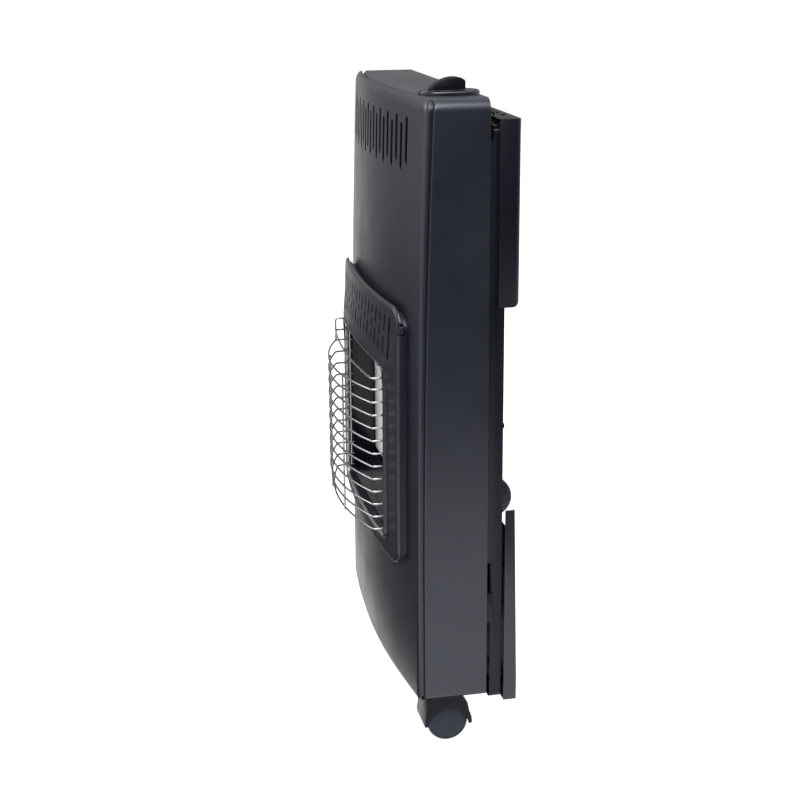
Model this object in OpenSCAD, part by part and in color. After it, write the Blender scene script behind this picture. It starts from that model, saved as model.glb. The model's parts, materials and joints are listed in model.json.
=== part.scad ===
// Portable gas heater on four swivel casters, folded for storage.
// The rear hood swings up and the base tray swings down, so that a gas cylinder stands between them.
// Millimetres, +Z up, front towards -Y, origin on the floor below the middle of the overall box.

/* [Cabinet] */
// Width over the side panels
body_w = 420; // [400:1:450]
// Height of the cabinet from its lower edge to its top
body_h = 715; // [700:1:740]
// Depth of the side panels at their lower edge
body_d = 79.3; // [77:0.1:86]
// Thickness of the steel sheet
sheet = 1.2; // [0.8:0.1:1.4]
// Radius of the bend between the top and the sides
bend_r = 14; // [8:1:20]
// How far the middle of the front panel stands ahead of its sides
bow = 16; // [10:1:20]
// How far the front leans back over the height of the cabinet
lean = 12.5; // [6:0.5:13]
// Depth of the front panel's turned edge
panel_edge = 3.5; // [3:0.5:5]
// Width of the groove between the front panel and the shell
groove = 2; // [1:0.5:3]

/* [Front panel slots] */
// Number of ventilation slots
slot_count = 19; // [9:2:21]
// Distance from slot to slot
slot_pitch = 17.1; // [14:0.1:18]
// Width of a slot
slot_w = 8; // [4:0.5:9]
// Length of a slot
slot_l = 54; // [30:1:60]
// How much lower every second slot sits
slot_stagger = 8; // [0:1:14]

/* [Burner] */
// Width over the burner surround
surround_w = 344; // [330:1:360]
// Height of the burner surround
surround_h = 317; // [300:1:330]
// Lower edge of the surround above the cabinet's lower edge
surround_low = 158; // [140:1:175]
// How far the surround stands ahead of the front panel
surround_proud = 12; // [8:1:16]
// Width of the burner opening
opening_w = 256; // [240:1:270]
// Height of the burner opening
opening_h = 218; // [214:1:222]
// Number of plaque columns, one burner each
burner_count = 3; // [3:1:3]
// Thickness of the ceramic plaques
plaque_t = 12; // [10:1:14]
// How far the plaque field begins above the opening's lower edge
plaque_low = 35; // [33:1:38]
// How far the plaque field ends below the opening's upper edge
plaque_high = 15; // [12:1:20]

/* [Wire guard] */
// Diameter of the guard wire
wire_d = 3; // [2.5:0.1:4]
// Number of cross wires
wire_count = 13; // [9:1:13]
// How far the guard's cross wires bulge between their ends
wire_bulge = 30; // [20:1:36]

/* [Back] */
// Gap between the cabinet and the back frame
frame_gap = 4.5; // [3:0.5:7]
// Depth of the back frame
frame_d = 14; // [12:1:16]
// Height of the rear hood
hood_h = 212; // [180:1:230]
// Depth of the rear hood
hood_d = 25; // [22:1:28]
// Height of the base tray
tray_h = 246; // [240:1:250]
// Depth of the base tray's turned edge
tray_d = 16; // [14:1:18]
// Height of the base tray's hinge above the floor
tray_hinge_z = 42; // [40:1:43]

/* [Casters] */
// Height of a caster from the floor to its mounting face
caster_h = 65; // [64:1:70]
// Diameter of a caster wheel
wheel_d = 50; // [46:1:52]
// Width of a caster wheel
wheel_w = 16; // [14:0.5:17]
// Distance from the swivel axis to the wheel axle
caster_trail = 14; // [12:0.5:16]
// Distance of the front casters' swivel axes from the sides
front_side = 34; // [32:1:42]
// Distance of the rear casters' swivel axes from the sides
rear_side = 64; // [62:1:65]

/* [Control knob] */
// Length of the knob's oval bezel, front to back
bezel_l = 70; // [66:1:72]
// Width of the bezel
bezel_w = 46; // [44:1:56]
// Height of the bezel
bezel_h = 4.5; // [3:0.5:6]
// Diameter of the knob's round skirt
knob_d = 42; // [38:1:42]
// Height of the knob above the bezel
knob_h = 14.5; // [13:0.5:18]
// Travel of the knob when it is pushed
push_travel = 4; // [3:0.5:4]
// Distance of the knob from the side of the cabinet
knob_side = 60; // [52:1:70]

/* [Hidden] */

// Where the casters' pieces begin in the list
first_caster_node = 38;

// Small gap between pieces that are fastened together
seat = 0.1;
// Gap between sheets that slide inside each other
sheet_gap = 0.3;
// Radial running clearance of pins and axles
run = 0.06;
// Smoothness of round parts and of the large bow
$fn = 48;
bow_fn = 720;

// Cabinet, with y = 0 at the middle of a side panel
half_w = body_w / 2;
body_bottom = caster_h;
body_top = body_bottom + body_h;
body_rear = body_d / 2;
panel_y = -body_d / 2 - groove - panel_edge;
lean_angle = asin(lean / body_h);
bow_r = (half_w * half_w + bow * bow) / (2 * bow);
lip_depth = 14;
lip_inset = sheet + sheet_gap;
inner_w = half_w - lip_inset;
slot_top = body_top - 23;

// Burner field
surround_z0 = body_bottom + surround_low;
surround_z1 = surround_z0 + surround_h;
surround_r = 25;
opening_z0 = surround_z0 + 22;
opening_z1 = opening_z0 + opening_h;
opening_r = 12;
lip_proud = surround_proud + 4;
louvre_z0 = opening_z1 + 4;
louvre_z1 = surround_z1 - 12;
louvre_w = 5;
louvre_pitch = 18;
plaque_y = panel_y + 16;
plaque_w = opening_w - 8;
plaque_z0 = opening_z0 + plaque_low;
plaque_z1 = opening_z1 - plaque_high;
plaque_h = plaque_z1 - plaque_z0;
plenum_d = 12.5;
shield_y = plaque_y + plaque_t + plenum_d;
shield_z1 = surround_z1 + 20;
cell_w = plaque_w / burner_count;
cell_gap = 1;
rim = 1.5;
venturi_r = 10;
venturi_l = 52;
manifold_r = 6;
manifold_z = plaque_z0 - venturi_l - 30;
manifold_y = plaque_y + plaque_t + 2;
injector_r = 5;
injector_l = 12;

// Wire guard
wire_r = wire_d / 2;
guard_half = opening_w / 2 - 4;
guard_end_y = plaque_y - 30;
guard_bend_y = guard_end_y - 22;
guard_low = 12.2;
guard_high = 13.08;
guard_z0 = opening_z0 + guard_low;
guard_pitch = (opening_h - guard_low - guard_high) / (wire_count - 1);
guard_top_drop = 2.26;
guard_upright_x = 45;
guard_front = guard_bend_y - wire_bulge - wire_r;

// Back frame, rear hood and base tray
frame_y0 = body_rear + frame_gap;
frame_y1 = frame_y0 + frame_d;
frame_half = half_w - 3;
frame_z0 = body_bottom - 8;
frame_z1 = body_top - 30;
frame_flange = 10;
tongue_x0 = frame_half - sheet;
tongue_x1 = half_w - sheet - seat;
bay_z0 = frame_z0 + 194;
bay_z1 = frame_z0 + 326;
bar_h = 10;
hood_axis_y = body_rear + 11.5;
hood_axis_z = body_top - 23;
hood_y0 = hood_axis_y - 1;
hood_y1 = hood_y0 + hood_d;
hood_z0 = hood_axis_z - hood_h;
hood_hinge_x = half_w - 70;
hinge_r = 4.5;
hood_pin_r = 2;
tray_axis_y = body_rear;
tray_y0 = body_rear + 21.5;
tray_y1 = tray_y0 + tray_d;
tray_z0 = frame_z0 - 3;
tray_z1 = tray_z0 + tray_h;
tray_taper = 4.5;
tray_notch_z = 265;
tray_pin_r = 3;
front_half = half_w - front_side;
rear_half = half_w - rear_side;
arm_x = rear_half - 38.5;
arm_t = 3;
web_x = rear_half - 53.5;
web_t = 2.5;

// Casters: the rear pair stands on the floor once the tray has swung down by a right angle
wheel_r = wheel_d / 2;
caster_web = 5;
front_caster_y = -19;
crossbar_y1 = tray_axis_y - (caster_h - tray_hinge_z);
crossbar_y0 = crossbar_y1 - 6.5;
rear_caster_z = 315;
crossbar_half = 17;
stem_r = 3;
axle_r = 3;
hood_r = 29.5;
hood_half = 23.5;

// Control
knob_x = half_w - knob_side;
knob_y = 4.35;
spindle_r = 4;
rotor_r = 8;
bezel_top = body_top + bezel_h;
bezel_behind = 2.5;
well_r = knob_d / 2 + 0.6;
skirt_z = -2.5;
valve_w = 34;
valve_h = 34;
valve_z1 = body_top - sheet - 14;
valve_z0 = valve_z1 - valve_h;
inlet_x = knob_x - 40;
inlet_z = body_top - 280;
pipe_r = 4;
down_pipe_x = half_w - 30;

// Overall depth, from the guard to the folded rear wheels
rear_wheel_y = crossbar_y1 + caster_h - wheel_r;
frame_y = -(guard_front + rear_wheel_y + wheel_r) / 2;

// Moves a piece from the cabinet's own middle to the origin of the whole object
module at_frame() translate([0, frame_y, 0]) children();

// Extrudes an outline drawn in x and z from y0 back to y1
module along_y(y0, y1) translate([0, y1, 0]) rotate([90, 0, 0]) linear_extrude(height = y1 - y0) children();

// Extrudes an outline drawn in y and z from x0 to x1
module along_x(x0, x1) translate([x0, 0, 0]) rotate([90, 0, 90]) linear_extrude(height = x1 - x0) children();

// A block given by its two corners
module block(low, high) translate(low) cube(high - low);

// Rectangle with round corners, x from -w/2 to w/2
module round_rect(w, z0, z1, r) {
  translate([-w / 2 + r, z0]) square([w - 2 * r, z1 - z0]);
  translate([-w / 2, z0 + r]) square([w, z1 - z0 - 2 * r]);
  for (x = [-w / 2 + r, w / 2 - r], z = [z0 + r, z1 - r]) translate([x, z]) circle(r);
}

// Outline of the cabinet from the front, with round upper corners
module cabinet_outline(inset, low) {
  w = half_w - inset;
  r = bend_r - inset;
  top = body_top - inset;
  translate([-w, low]) square([2 * w, top - r - low]);
  translate([-w + r, low]) square([2 * (w - r), top - low]);
  for (x = [-w + r, w - r]) translate([x, top - r]) circle(r);
}

// The frame in which the front panel stands: origin at its lower edge, leaning back
module leaned() translate([0, panel_y, body_bottom]) rotate([-lean_angle, 0, 0]) children();

// Disc whose front edge is the bow of the panel, moved ahead by a distance
module bow_disc(ahead) translate([0, bow_r - bow]) circle(bow_r + ahead, $fn = bow_fn);

// Bowed layer between two distances ahead of the panel's face
module bow_layer(ahead, behind) leaned() translate([0, 0, -30]) linear_extrude(height = body_h + 60)
  difference() {
    intersection() {
      bow_disc(ahead);
      translate([-half_w - 5, -bow - 60]) square([body_w + 10, bow + 110]);
    }
    bow_disc(behind);
  }

// Everything ahead of a bowed surface that lies a depth behind the panel's face
module ahead_of(depth) leaned() translate([0, 0, -30]) linear_extrude(height = body_h + 60)
  difference() {
    translate([-half_w - 5, -bow - 60]) square([body_w + 10, bow + 100]);
    bow_disc(-depth);
  }

// A layer of the front panel, cut to the cabinet's outline and hollow inside
module panel_ring(front, back, inset_out, inset_in) intersection() {
  bow_layer(-front, -back);
  along_y(panel_y - 60, panel_y + 60) difference() {
    cabinet_outline(inset_out, body_bottom + inset_out);
    cabinet_outline(inset_in, body_bottom + inset_in);
  }
}

module slot(x, z0, z1, w) {
  translate([x - w / 2, z0 + w / 2]) square([w, z1 - z0 - w]);
  for (z = [z0 + w / 2, z1 - w / 2]) translate([x, z]) circle(w / 2, $fn = 24);
}

module cabinet_shell() color([0.24, 0.25, 0.28]) at_frame() difference() {
  along_y(panel_y - 10, body_rear) difference() {
    cabinet_outline(0, body_bottom);
    cabinet_outline(sheet, body_bottom - 10);
  }
  ahead_of(panel_edge + groove);
  translate([knob_x, knob_y, body_top - 10]) cylinder(r = well_r, h = 20);
}

module front_panel() color([0.3, 0.31, 0.34]) at_frame() difference() {
  union() {
    intersection() {
      bow_layer(0, -sheet);
      along_y(panel_y - 60, panel_y + 60) cabinet_outline(0, body_bottom);
    }
    panel_ring(0, panel_edge, 0, sheet);
    panel_ring(panel_edge - sheet, panel_edge, 0, lip_inset + sheet);
    panel_ring(panel_edge - sheet, panel_edge + lip_depth, lip_inset, lip_inset + sheet);
  }
  along_y(panel_y - 60, panel_y + 60) for (i = [0:slot_count - 1])
    slot((i - (slot_count - 1) / 2) * slot_pitch, slot_top - slot_l - slot_stagger * (i % 2),
      slot_top - slot_stagger * (i % 2), slot_w);
  along_y(panel_y - 60, panel_y + 60)
    round_rect(surround_w - 40, surround_z0 + 15, surround_z1 - 15, opening_r);
}

module base_plate() color([0.2, 0.21, 0.23]) at_frame() {
  difference() {
    block([-inner_w, panel_y - bow - 5, body_bottom], [inner_w, body_rear - sheet_gap, body_bottom + sheet]);
    ahead_of(panel_edge + sheet_gap);
  }
  for (side = [-1, 1]) translate([side * (inner_w - sheet / 2), 0, 0])
    block([-sheet / 2, shield_y + 16, body_bottom], [sheet / 2, body_rear - sheet_gap, body_bottom + 15]);
  block([-inner_w, body_rear - sheet_gap - sheet, body_bottom],
    [inner_w, body_rear - sheet_gap, body_bottom + 15]);
}

// Bulkhead behind the burners, from the base plate to above the surround
module heat_shield() color([0.62, 0.63, 0.64]) at_frame() {
  low = body_bottom + sheet + seat;
  block([-inner_w, shield_y, low], [inner_w, shield_y + sheet, shield_z1]);
  for (side = [-1, 1]) translate([side * (inner_w - sheet / 2), 0, 0])
    block([-sheet / 2, shield_y, low], [sheet / 2, shield_y + 14, shield_z1]);
  difference() {
    block([-inner_w + 9, shield_y - 25, shield_z1 - sheet], [inner_w - 9, shield_y + sheet, shield_z1]);
    translate([down_pipe_x, manifold_y, shield_z1 - 5]) cylinder(r = pipe_r + 2, h = 10);
  }
}

// Back frame: a folded ring, side tongues that reach into the shell, and two hinge knuckles
module back_frame() color([0.16, 0.165, 0.18]) at_frame() difference() {
  union() {
    along_y(frame_y0, frame_y1) frame_ring(sheet);
    along_y(frame_y1 - sheet, frame_y1) frame_ring(frame_flange);
    for (side = [0, 1], span = [[frame_z0 + 101, frame_z0 + 139], [frame_z0 + 178, frame_z1 - 15]])
      mirror([side, 0, 0]) block([tongue_x0, body_rear - 14, span[0]], [tongue_x1, frame_y0 + 2, span[1]]);
    for (side = [-1, 1]) translate([side * hood_hinge_x, 0, 0]) {
      block([-10, hood_axis_y - hinge_r + 0.5, frame_z1 - 1], [10, hood_axis_y + hinge_r - 0.5, hood_axis_z]);
      translate([-10, hood_axis_y, hood_axis_z]) rotate([0, 90, 0]) cylinder(r = hinge_r, h = 20);
    }
  }
  for (side = [-1, 1]) translate([side * hood_hinge_x - 15, hood_axis_y, hood_axis_z])
    rotate([0, 90, 0]) cylinder(r = hood_pin_r + run, h = 30);
}

module frame_ring(inset) difference() {
  round_rect(2 * frame_half, frame_z0, frame_z1, 8);
  translate([-frame_half + inset, frame_z0 + inset])
    square([2 * (frame_half - inset), frame_z1 - frame_z0 - 2 * inset]);
}

// Two angle bars across the frame, above and below the bay of the folded casters
module frame_cross_bars() color([0.16, 0.165, 0.18]) at_frame() for (z = [bay_z0, bay_z1]) {
  web_half = frame_half - sheet - seat;
  flange_half = frame_half - frame_flange - seat;
  block([-web_half, frame_y0, z], [web_half, frame_y1 - sheet - seat, z + sheet]);
  block([-flange_half, frame_y0, z], [flange_half, frame_y1, z + sheet]);
  block([-flange_half, frame_y1 - sheet, z], [flange_half, frame_y1, z + bar_h]);
}

// A back panel lies inside the frame, just ahead of its flange
module back_panel(z0, z1) {
  y1 = frame_y1 - sheet - seat;
  difference() {
    block([-frame_half + sheet + sheet_gap, y1 - sheet, z0], [frame_half - sheet - sheet_gap, y1, z1]);
    children();
  }
}

module upper_back_panel() color([0.2, 0.21, 0.23]) at_frame()
  back_panel(bay_z1 + sheet + sheet_gap, frame_z1 - 8 - sheet_gap) {
    along_y(frame_y0, frame_y1) for (i = [-5:5], z = [bay_z1 + 30, bay_z1 + 70]) slot(i * 24, z, z + 26, 6);
    translate([inlet_x, frame_y0, inlet_z]) rotate([-90, 0, 0]) cylinder(r = 7.2, h = frame_d);
  }

module lower_back_panel() color([0.2, 0.21, 0.23]) at_frame()
  back_panel(frame_z0 + 8 + sheet_gap, bay_z0 - sheet_gap)
    along_y(frame_y0, frame_y1) for (i = [-5:5]) slot(i * 24, frame_z0 + 60, frame_z0 + 86, 6);

module back_panel_screws() color([0.7, 0.7, 0.72]) at_frame()
  for (side = [-1, 1], z = [frame_z0 + 30, frame_z0 + 180, bay_z1 + 20, frame_z1 - 40])
    translate([side * (frame_half - 5), frame_y1, z]) rotate([-90, 0, 0]) cylinder(r = 3, h = 2);

// Outline of the surround, drawn in x and z
module surround_outline(inset)
  round_rect(surround_w - 2 * inset, surround_z0 + inset, surround_z1 - inset, surround_r - inset);

module opening_outline(grow)
  round_rect(opening_w + 2 * grow, opening_z0 - grow, opening_z1 + grow, opening_r + grow);

module surround_layer(ahead, behind) intersection() {
  bow_layer(ahead, behind);
  along_y(panel_y - 60, panel_y + 20) children();
}

module burner_surround() color([0.05, 0.05, 0.055]) at_frame() difference() {
  union() {
    surround_layer(surround_proud, seat) difference() {
      surround_outline(0);
      surround_outline(rim);
    }
    surround_layer(surround_proud, surround_proud - rim) surround_outline(0);
    surround_layer(lip_proud, 2) opening_outline(rim);
  }
  along_y(panel_y - 80, panel_y + 20) opening_outline(0);
  along_y(panel_y - 80, panel_y + 20) for (i = [-8:8])
    slot(i * louvre_pitch, louvre_z1 - louvre_slot(i), louvre_z1, louvre_w);
}

// Length of a louvre slot, longest at the sides
function louvre_slot(i) = min(louvre_z1 - louvre_z0 - 8, 37 + 1.5 * abs(i));

// A straight round bar from point to point
module bar(a, b, r) {
  d = b - a;
  translate(a) rotate([0, atan2(norm([d[0], d[1]]), d[2]), atan2(d[1], d[0])]) cylinder(r = r, h = norm(d));
}

// A pipe through a list of points, with a round fitting at each corner
module pipe(points, r) {
  for (i = [0:len(points) - 2]) bar(points[i], points[i + 1], r);
  for (i = [1:len(points) - 2]) translate(points[i]) sphere(r + 1);
}

// Height of a cross wire; the top one is a little closer to the next
function wire_z(i) = guard_z0 + i * guard_pitch - (i == wire_count - 1 ? guard_top_drop : 0);

// How far a cross wire stays behind the full bulge: the top wire is nearly straight, the lowest two tuck in
function wire_setback(i) = i == wire_count - 1 ? wire_bulge - 8 : i == 0 ? 5 : i == 1 ? 2 : 0;

module cross_wire(i) {
  bulge = wire_bulge - wire_setback(i);
  arc_r = (guard_half * guard_half + bulge * bulge) / (2 * bulge);
  half_angle = asin(guard_half / arc_r);
  z = wire_z(i);
  translate([0, guard_bend_y - bulge + arc_r, z]) rotate([0, 0, -90 - half_angle])
    rotate_extrude(angle = 2 * half_angle, $fn = 360) translate([arc_r, 0]) circle(wire_r, $fn = 16);
  for (side = [-1, 1]) {
    bar([side * guard_half, guard_bend_y, z], [side * guard_half, guard_end_y - seat, z], wire_r, $fn = 16);
    translate([side * guard_half, guard_bend_y, z]) sphere(wire_r + 0.15, $fn = 16);
  }
}

module wire_guard() color([0.75, 0.76, 0.78]) at_frame() {
  for (i = [0:wire_count - 1]) cross_wire(i);
  arc_r = (guard_half * guard_half + wire_bulge * wire_bulge) / (2 * wire_bulge);
  front_y = guard_bend_y - wire_bulge + arc_r - sqrt(arc_r * arc_r - guard_upright_x * guard_upright_x);
  upright_y = front_y + wire_d - 0.3;
  side_y = guard_end_y - 3;
  for (side = [-1, 1]) {
    bar([side * guard_upright_x, upright_y, guard_z0],
      [side * guard_upright_x, upright_y, wire_z(wire_count - 2)], wire_r, $fn = 16);
    bar([side * guard_half, side_y, guard_z0],
      [side * guard_half, side_y, wire_z(wire_count - 1)], wire_r, $fn = 16);
  }
}

// Sheet box between the opening and the plaques, with a flange behind the surround
module reflector() color([0.08, 0.08, 0.085]) at_frame() {
  y0 = guard_end_y;
  difference() {
    intersection() {
      along_y(y0 - 1, plaque_y) round_rect(opening_w - 2, opening_z0 + 1, opening_z1 - 1, opening_r - 1);
      along_x(-opening_w / 2 + 1, opening_w / 2 - 1) polygon([
        [y0, opening_z0 + 1], [y0, opening_z1 - 1],
        [plaque_y - seat, plaque_z1 + 2], [plaque_y - seat, plaque_z0 - 1]]);
    }
    along_x(-opening_w / 2 + 2, opening_w / 2 - 2) polygon([
      [y0 - 1, opening_z0 + 2.3], [y0 - 1, opening_z1 - 0.5],
      [plaque_y + 1, plaque_z1 - 1], [plaque_y + 1, plaque_z0]]);
    for (x = [cell_w / 2 - 2, cell_w / 2 + 18])
      translate([x, plaque_y - 3, plaque_z0 - 25]) cylinder(r = 3.3, h = 30);
  }
  for (side = [-1, 1]) translate([side * guard_half, 0, 0])
    block([-3, y0, opening_z0 + 8], [2.8, y0 + 1, opening_z1 - 12]);
}

// Three columns of ceramic tiles, three tiles high
module ceramic_plaques() color([0.8, 0.78, 0.74]) at_frame()
  for (column = [0:burner_count - 1], row = [0:2]) {
    tile_h = (plaque_h - 2 * rim - 2) / 3;
    x = -plaque_w / 2 + column * cell_w + cell_gap / 2 + rim + seat;
    z = plaque_z0 + rim + seat + row * (tile_h + 0.9);
    tile_w = cell_w - cell_gap - 2 * rim - 2 * seat;
    block([x, plaque_y + seat, z], [x + tile_w, plaque_y + plaque_t, z + tile_h]);
  }

// A mixing chamber with its venturi tube
module burner(column) color([0.55, 0.55, 0.56]) at_frame()
  translate([-plaque_w / 2 + (column + 0.5) * cell_w, 0, 0]) {
    w = (cell_w - cell_gap) / 2;
    back = shield_y - seat;
    difference() {
      union() {
        block([-w, plaque_y, plaque_z0], [w, back, plaque_z1]);
        translate([0, manifold_y, plaque_z0 - venturi_l]) cylinder(r = venturi_r, h = venturi_l + 1);
      }
      block([-w + rim, plaque_y - 1, plaque_z0 + rim], [w - rim, plaque_y + plaque_t + seat, plaque_z1 - rim]);
      block([-w + 4, plaque_y, plaque_z0 + 4], [w - 4, back - rim, plaque_z1 - 4]);
      translate([0, manifold_y, plaque_z0 - venturi_l - 1]) cylinder(r = venturi_r - 1.5, h = venturi_l + 8);
    }
  }

module burner_left() burner(0);
module burner_middle() burner(1);
module burner_right() burner(2);

module gas_manifold() color([0.72, 0.6, 0.32]) at_frame() {
  end_x = cell_w + 14;
  difference() {
    union() {
      translate([-end_x, manifold_y, manifold_z]) rotate([0, 90, 0]) cylinder(r = manifold_r, h = 2 * end_x);
      for (x = [-55, 55])
        block([x - 5, manifold_y, manifold_z - 4], [x + 5, shield_y - seat, manifold_z + 4]);
      for (column = [-1:1]) translate([column * cell_w, manifold_y, manifold_z])
        cylinder(r = injector_r + 1, h = manifold_r + 4);
    }
    translate([-end_x + 3, manifold_y, manifold_z]) rotate([0, 90, 0])
      cylinder(r = manifold_r - 2, h = 2 * end_x);
  }
}

module injectors() color([0.78, 0.62, 0.28]) at_frame() for (column = [-1:1])
  translate([column * cell_w, manifold_y, manifold_z + manifold_r + 4 + seat]) difference() {
    union() {
      cylinder(r = injector_r, h = 6, $fn = 6);
      cylinder(r = 3, h = injector_l);
    }
    translate([0, 0, -1]) cylinder(r = 0.6, h = injector_l + 2);
  }

module supply_pipe() color([0.72, 0.6, 0.32]) at_frame() {
  bend_z = shield_z1 + 22;
  pipe([[knob_x, knob_y, valve_z0 - seat], [knob_x, knob_y, bend_z], [down_pipe_x, manifold_y, bend_z],
    [down_pipe_x, manifold_y, manifold_z], [cell_w + 14 + seat, manifold_y, manifold_z]], pipe_r);
}

module valve_bracket() color([0.6, 0.61, 0.62]) at_frame() difference() {
  union() {
    block([knob_x - 28, knob_y - 20, valve_z1 + seat], [knob_x + 28, knob_y + 20, valve_z1 + seat + 1.5]);
    for (side = [-1, 1]) translate([knob_x + side * 27.25, 0, 0])
      block([-0.75, knob_y - 20, valve_z1 + seat], [0.75, knob_y + 20, body_top - sheet - seat]);
    for (span = [[-38, -26.5], [26.5, 36]])
      block([knob_x + span[0], knob_y - 20, body_top - sheet - seat - 1.5],
        [knob_x + span[1], knob_y + 20, body_top - sheet - seat]);
  }
  translate([knob_x, knob_y, valve_z1 - 1]) cylinder(r = rotor_r + 4, h = 5);
}

module gas_valve_body() color([0.76, 0.64, 0.36]) at_frame() difference() {
  union() {
    block([knob_x - valve_w / 2, knob_y - 14, valve_z0], [knob_x + valve_w / 2, knob_y + 14, valve_z1]);
    translate([knob_x - valve_w / 2 - 10, knob_y, valve_z0 + 12]) rotate([0, 90, 0]) cylinder(r = 7, h = 12);
  }
  translate([knob_x, knob_y, valve_z0 + 6]) cylinder(r = rotor_r + run, h = valve_h);
}

// The rotor turns with the spindle and opens the gas ports
module valve_rotor() color([0.7, 0.58, 0.3]) at_frame()
  translate([knob_x, knob_y, valve_z0 + 6 + seat]) difference() {
    cylinder(r = rotor_r, h = valve_h - 10);
    translate([0, 0, 5]) cylinder(r = spindle_r + run, h = valve_h);
  }

module valve_spindle() color([0.75, 0.75, 0.76]) at_frame() {
  low = valve_z0 + 12 + push_travel;
  translate([knob_x, knob_y, low]) cylinder(r = spindle_r, h = bezel_top + 9 - low);
  translate([knob_x, knob_y, body_top - sheet - 2 - 1.5]) cylinder(r = spindle_r + 2.2, h = 1.5);
}

// Stands for the coil between the rotor's housing and the spindle's collar
module spindle_spring() color([0.7, 0.71, 0.73]) at_frame()
  translate([knob_x, knob_y, valve_z1 + seat]) difference() {
    cylinder(r = spindle_r + 2, h = 14 - 3.5 - 2 * seat);
    translate([0, 0, -1]) cylinder(r = spindle_r + 0.8, h = 20);
  }

module control_knob() color([0.06, 0.06, 0.065]) at_frame()
  translate([knob_x, knob_y, bezel_top]) difference() {
    union() {
      translate([0, 0, skirt_z]) cylinder(r = knob_d / 2, h = 4);
      intersection() {
        along_x(-6.5, 6.5) knob_profile();
        cylinder(r = knob_d / 2, h = knob_h + 1);
      }
    }
    translate([0, 0, skirt_z - 1]) cylinder(r = spindle_r + run, h = 9 - skirt_z + 1);
  }

// Side view of the knob's grip: low at the front, high at the rear
module knob_profile() polygon([
  [-knob_d / 2, skirt_z + 1], [-knob_d / 2, 3], [-8, knob_h - 3], [2, knob_h], [knob_d / 2 - 3, knob_h - 2],
  [knob_d / 2, knob_h - 6], [knob_d / 2, skirt_z + 1]]);

module knob_bezel() color([0.35, 0.36, 0.38]) at_frame()
  translate([knob_x, knob_y, body_top + seat]) difference() {
    translate([0, bezel_behind, 0]) linear_extrude(height = bezel_h - seat) stadium(bezel_l, bezel_w);
    translate([0, 0, -1]) cylinder(r = well_r, h = bezel_h + 2);
  }

module stadium(l, w) {
  translate([-w / 2, -(l - w) / 2]) square([w, l - w]);
  for (side = [-1, 1]) translate([0, side * (l - w) / 2]) circle(w / 2);
}

module inlet_nozzle() color([0.78, 0.64, 0.34]) at_frame()
  translate([inlet_x, frame_y1 - sheet - seat, inlet_z]) rotate([-90, 0, 0]) difference() {
    union() {
      translate([0, 0, seat]) cylinder(r = 9, h = 4, $fn = 6);
      translate([0, 0, -6]) cylinder(r = 7, h = 7);
      cylinder(r = 4.5, h = 15);
    }
    translate([0, 0, -8]) cylinder(r = 2.5, h = 30);
  }

module inlet_pipe() color([0.72, 0.6, 0.32]) at_frame() {
  port_z = valve_z0 + 12;
  pipe([[inlet_x, frame_y1 - sheet - 6 - 2 * seat, inlet_z], [inlet_x, knob_y, inlet_z],
    [inlet_x, knob_y, port_z], [knob_x - valve_w / 2 - 10 - seat, knob_y, port_z]], pipe_r);
}

// Bracket below the plaques that holds the pilot flame, the thermocouple and the electrode
module pilot_burner() color([0.66, 0.66, 0.68]) at_frame() translate([cell_w / 2 + 8, 0, plaque_z0 - 30]) {
  block([-16, shield_y - seat - 1.5, 0], [16, shield_y - seat, 18]);
  block([-16, plaque_y - 8, 0], [16, shield_y - seat, 1.5]);
  translate([0, plaque_y - 3, 1]) cylinder(r = 4, h = 14);
}

module thermocouple() color([0.7, 0.55, 0.35]) at_frame()
  translate([cell_w / 2 + 18, plaque_y - 3, plaque_z0 - 28.4]) cylinder(r = 2, h = 37);

module ignition_electrode() color([0.92, 0.9, 0.86]) at_frame()
  translate([cell_w / 2 - 2, plaque_y - 3, plaque_z0 - 28.4]) {
    cylinder(r = 2.8, h = 16);
    cylinder(r = 0.8, h = 36);
  }

module piezo_igniter() color([0.12, 0.12, 0.13]) at_frame() translate([knob_x + valve_w / 2, knob_y, valve_z1])
  block([seat, -9, -26], [12, 9, 0]);

// Rear hood, hinged at its top edge
module rear_hood() color([0.12, 0.125, 0.14]) at_frame() difference() {
  union() {
    difference() {
      intersection() {
        translate([0, 0, hood_z0]) linear_extrude(height = hood_h) pan_plan(half_w, 6);
        along_x(-half_w, half_w) pan_side(0);
      }
      intersection() {
        translate([0, 0, hood_z0 - 1]) linear_extrude(height = hood_h + 2) pan_plan(half_w - sheet - 0.3, 4.5);
        along_x(-half_w, half_w) pan_side(sheet);
      }
    }
    for (side = [-1, 1], part = [-1, 1])
      translate([side * hood_hinge_x + part * 18 - 7.7, hood_axis_y, hood_axis_z])
        rotate([0, 90, 0]) cylinder(r = hinge_r, h = 15.4);
  }
  for (side = [-1, 1]) translate([side * hood_hinge_x, 0, 0]) {
    block([-10.3, hood_y0 - 1, hood_axis_z - 10], [10.3, hood_axis_y + hinge_r + 2, hood_axis_z + 10]);
    translate([-30, hood_axis_y, hood_axis_z]) rotate([0, 90, 0]) cylinder(r = hood_pin_r + run, h = 60);
  }
  for (i = [-6:6])
    block([i * 28 - 7, hood_y0 + 12, hood_axis_z - 5], [i * 28 + 7, hood_y0 + 18, hood_axis_z + 5]);
  block([-frame_half - 0.6, hood_y0 - 1, hood_z0 - 1],
    [frame_half + 0.6, frame_y1 + sheet_gap, hood_z0 + sheet + 1]);
}

// Plan of the hood with round rear corners, and its side view with a round lower corner
module pan_plan(half, r) {
  inner = half_w - half;
  y1 = hood_y1 - (inner > 0 ? sheet : 0);
  y0 = hood_y0 - (inner > 0 ? 1 : 0);
  translate([-half, y0]) square([2 * half, y1 - r - y0]);
  translate([-half + r, y0]) square([2 * (half - r), y1 - y0]);
  for (side = [-1, 1]) translate([side * (half - r), y1 - r]) circle(r);
}

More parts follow.
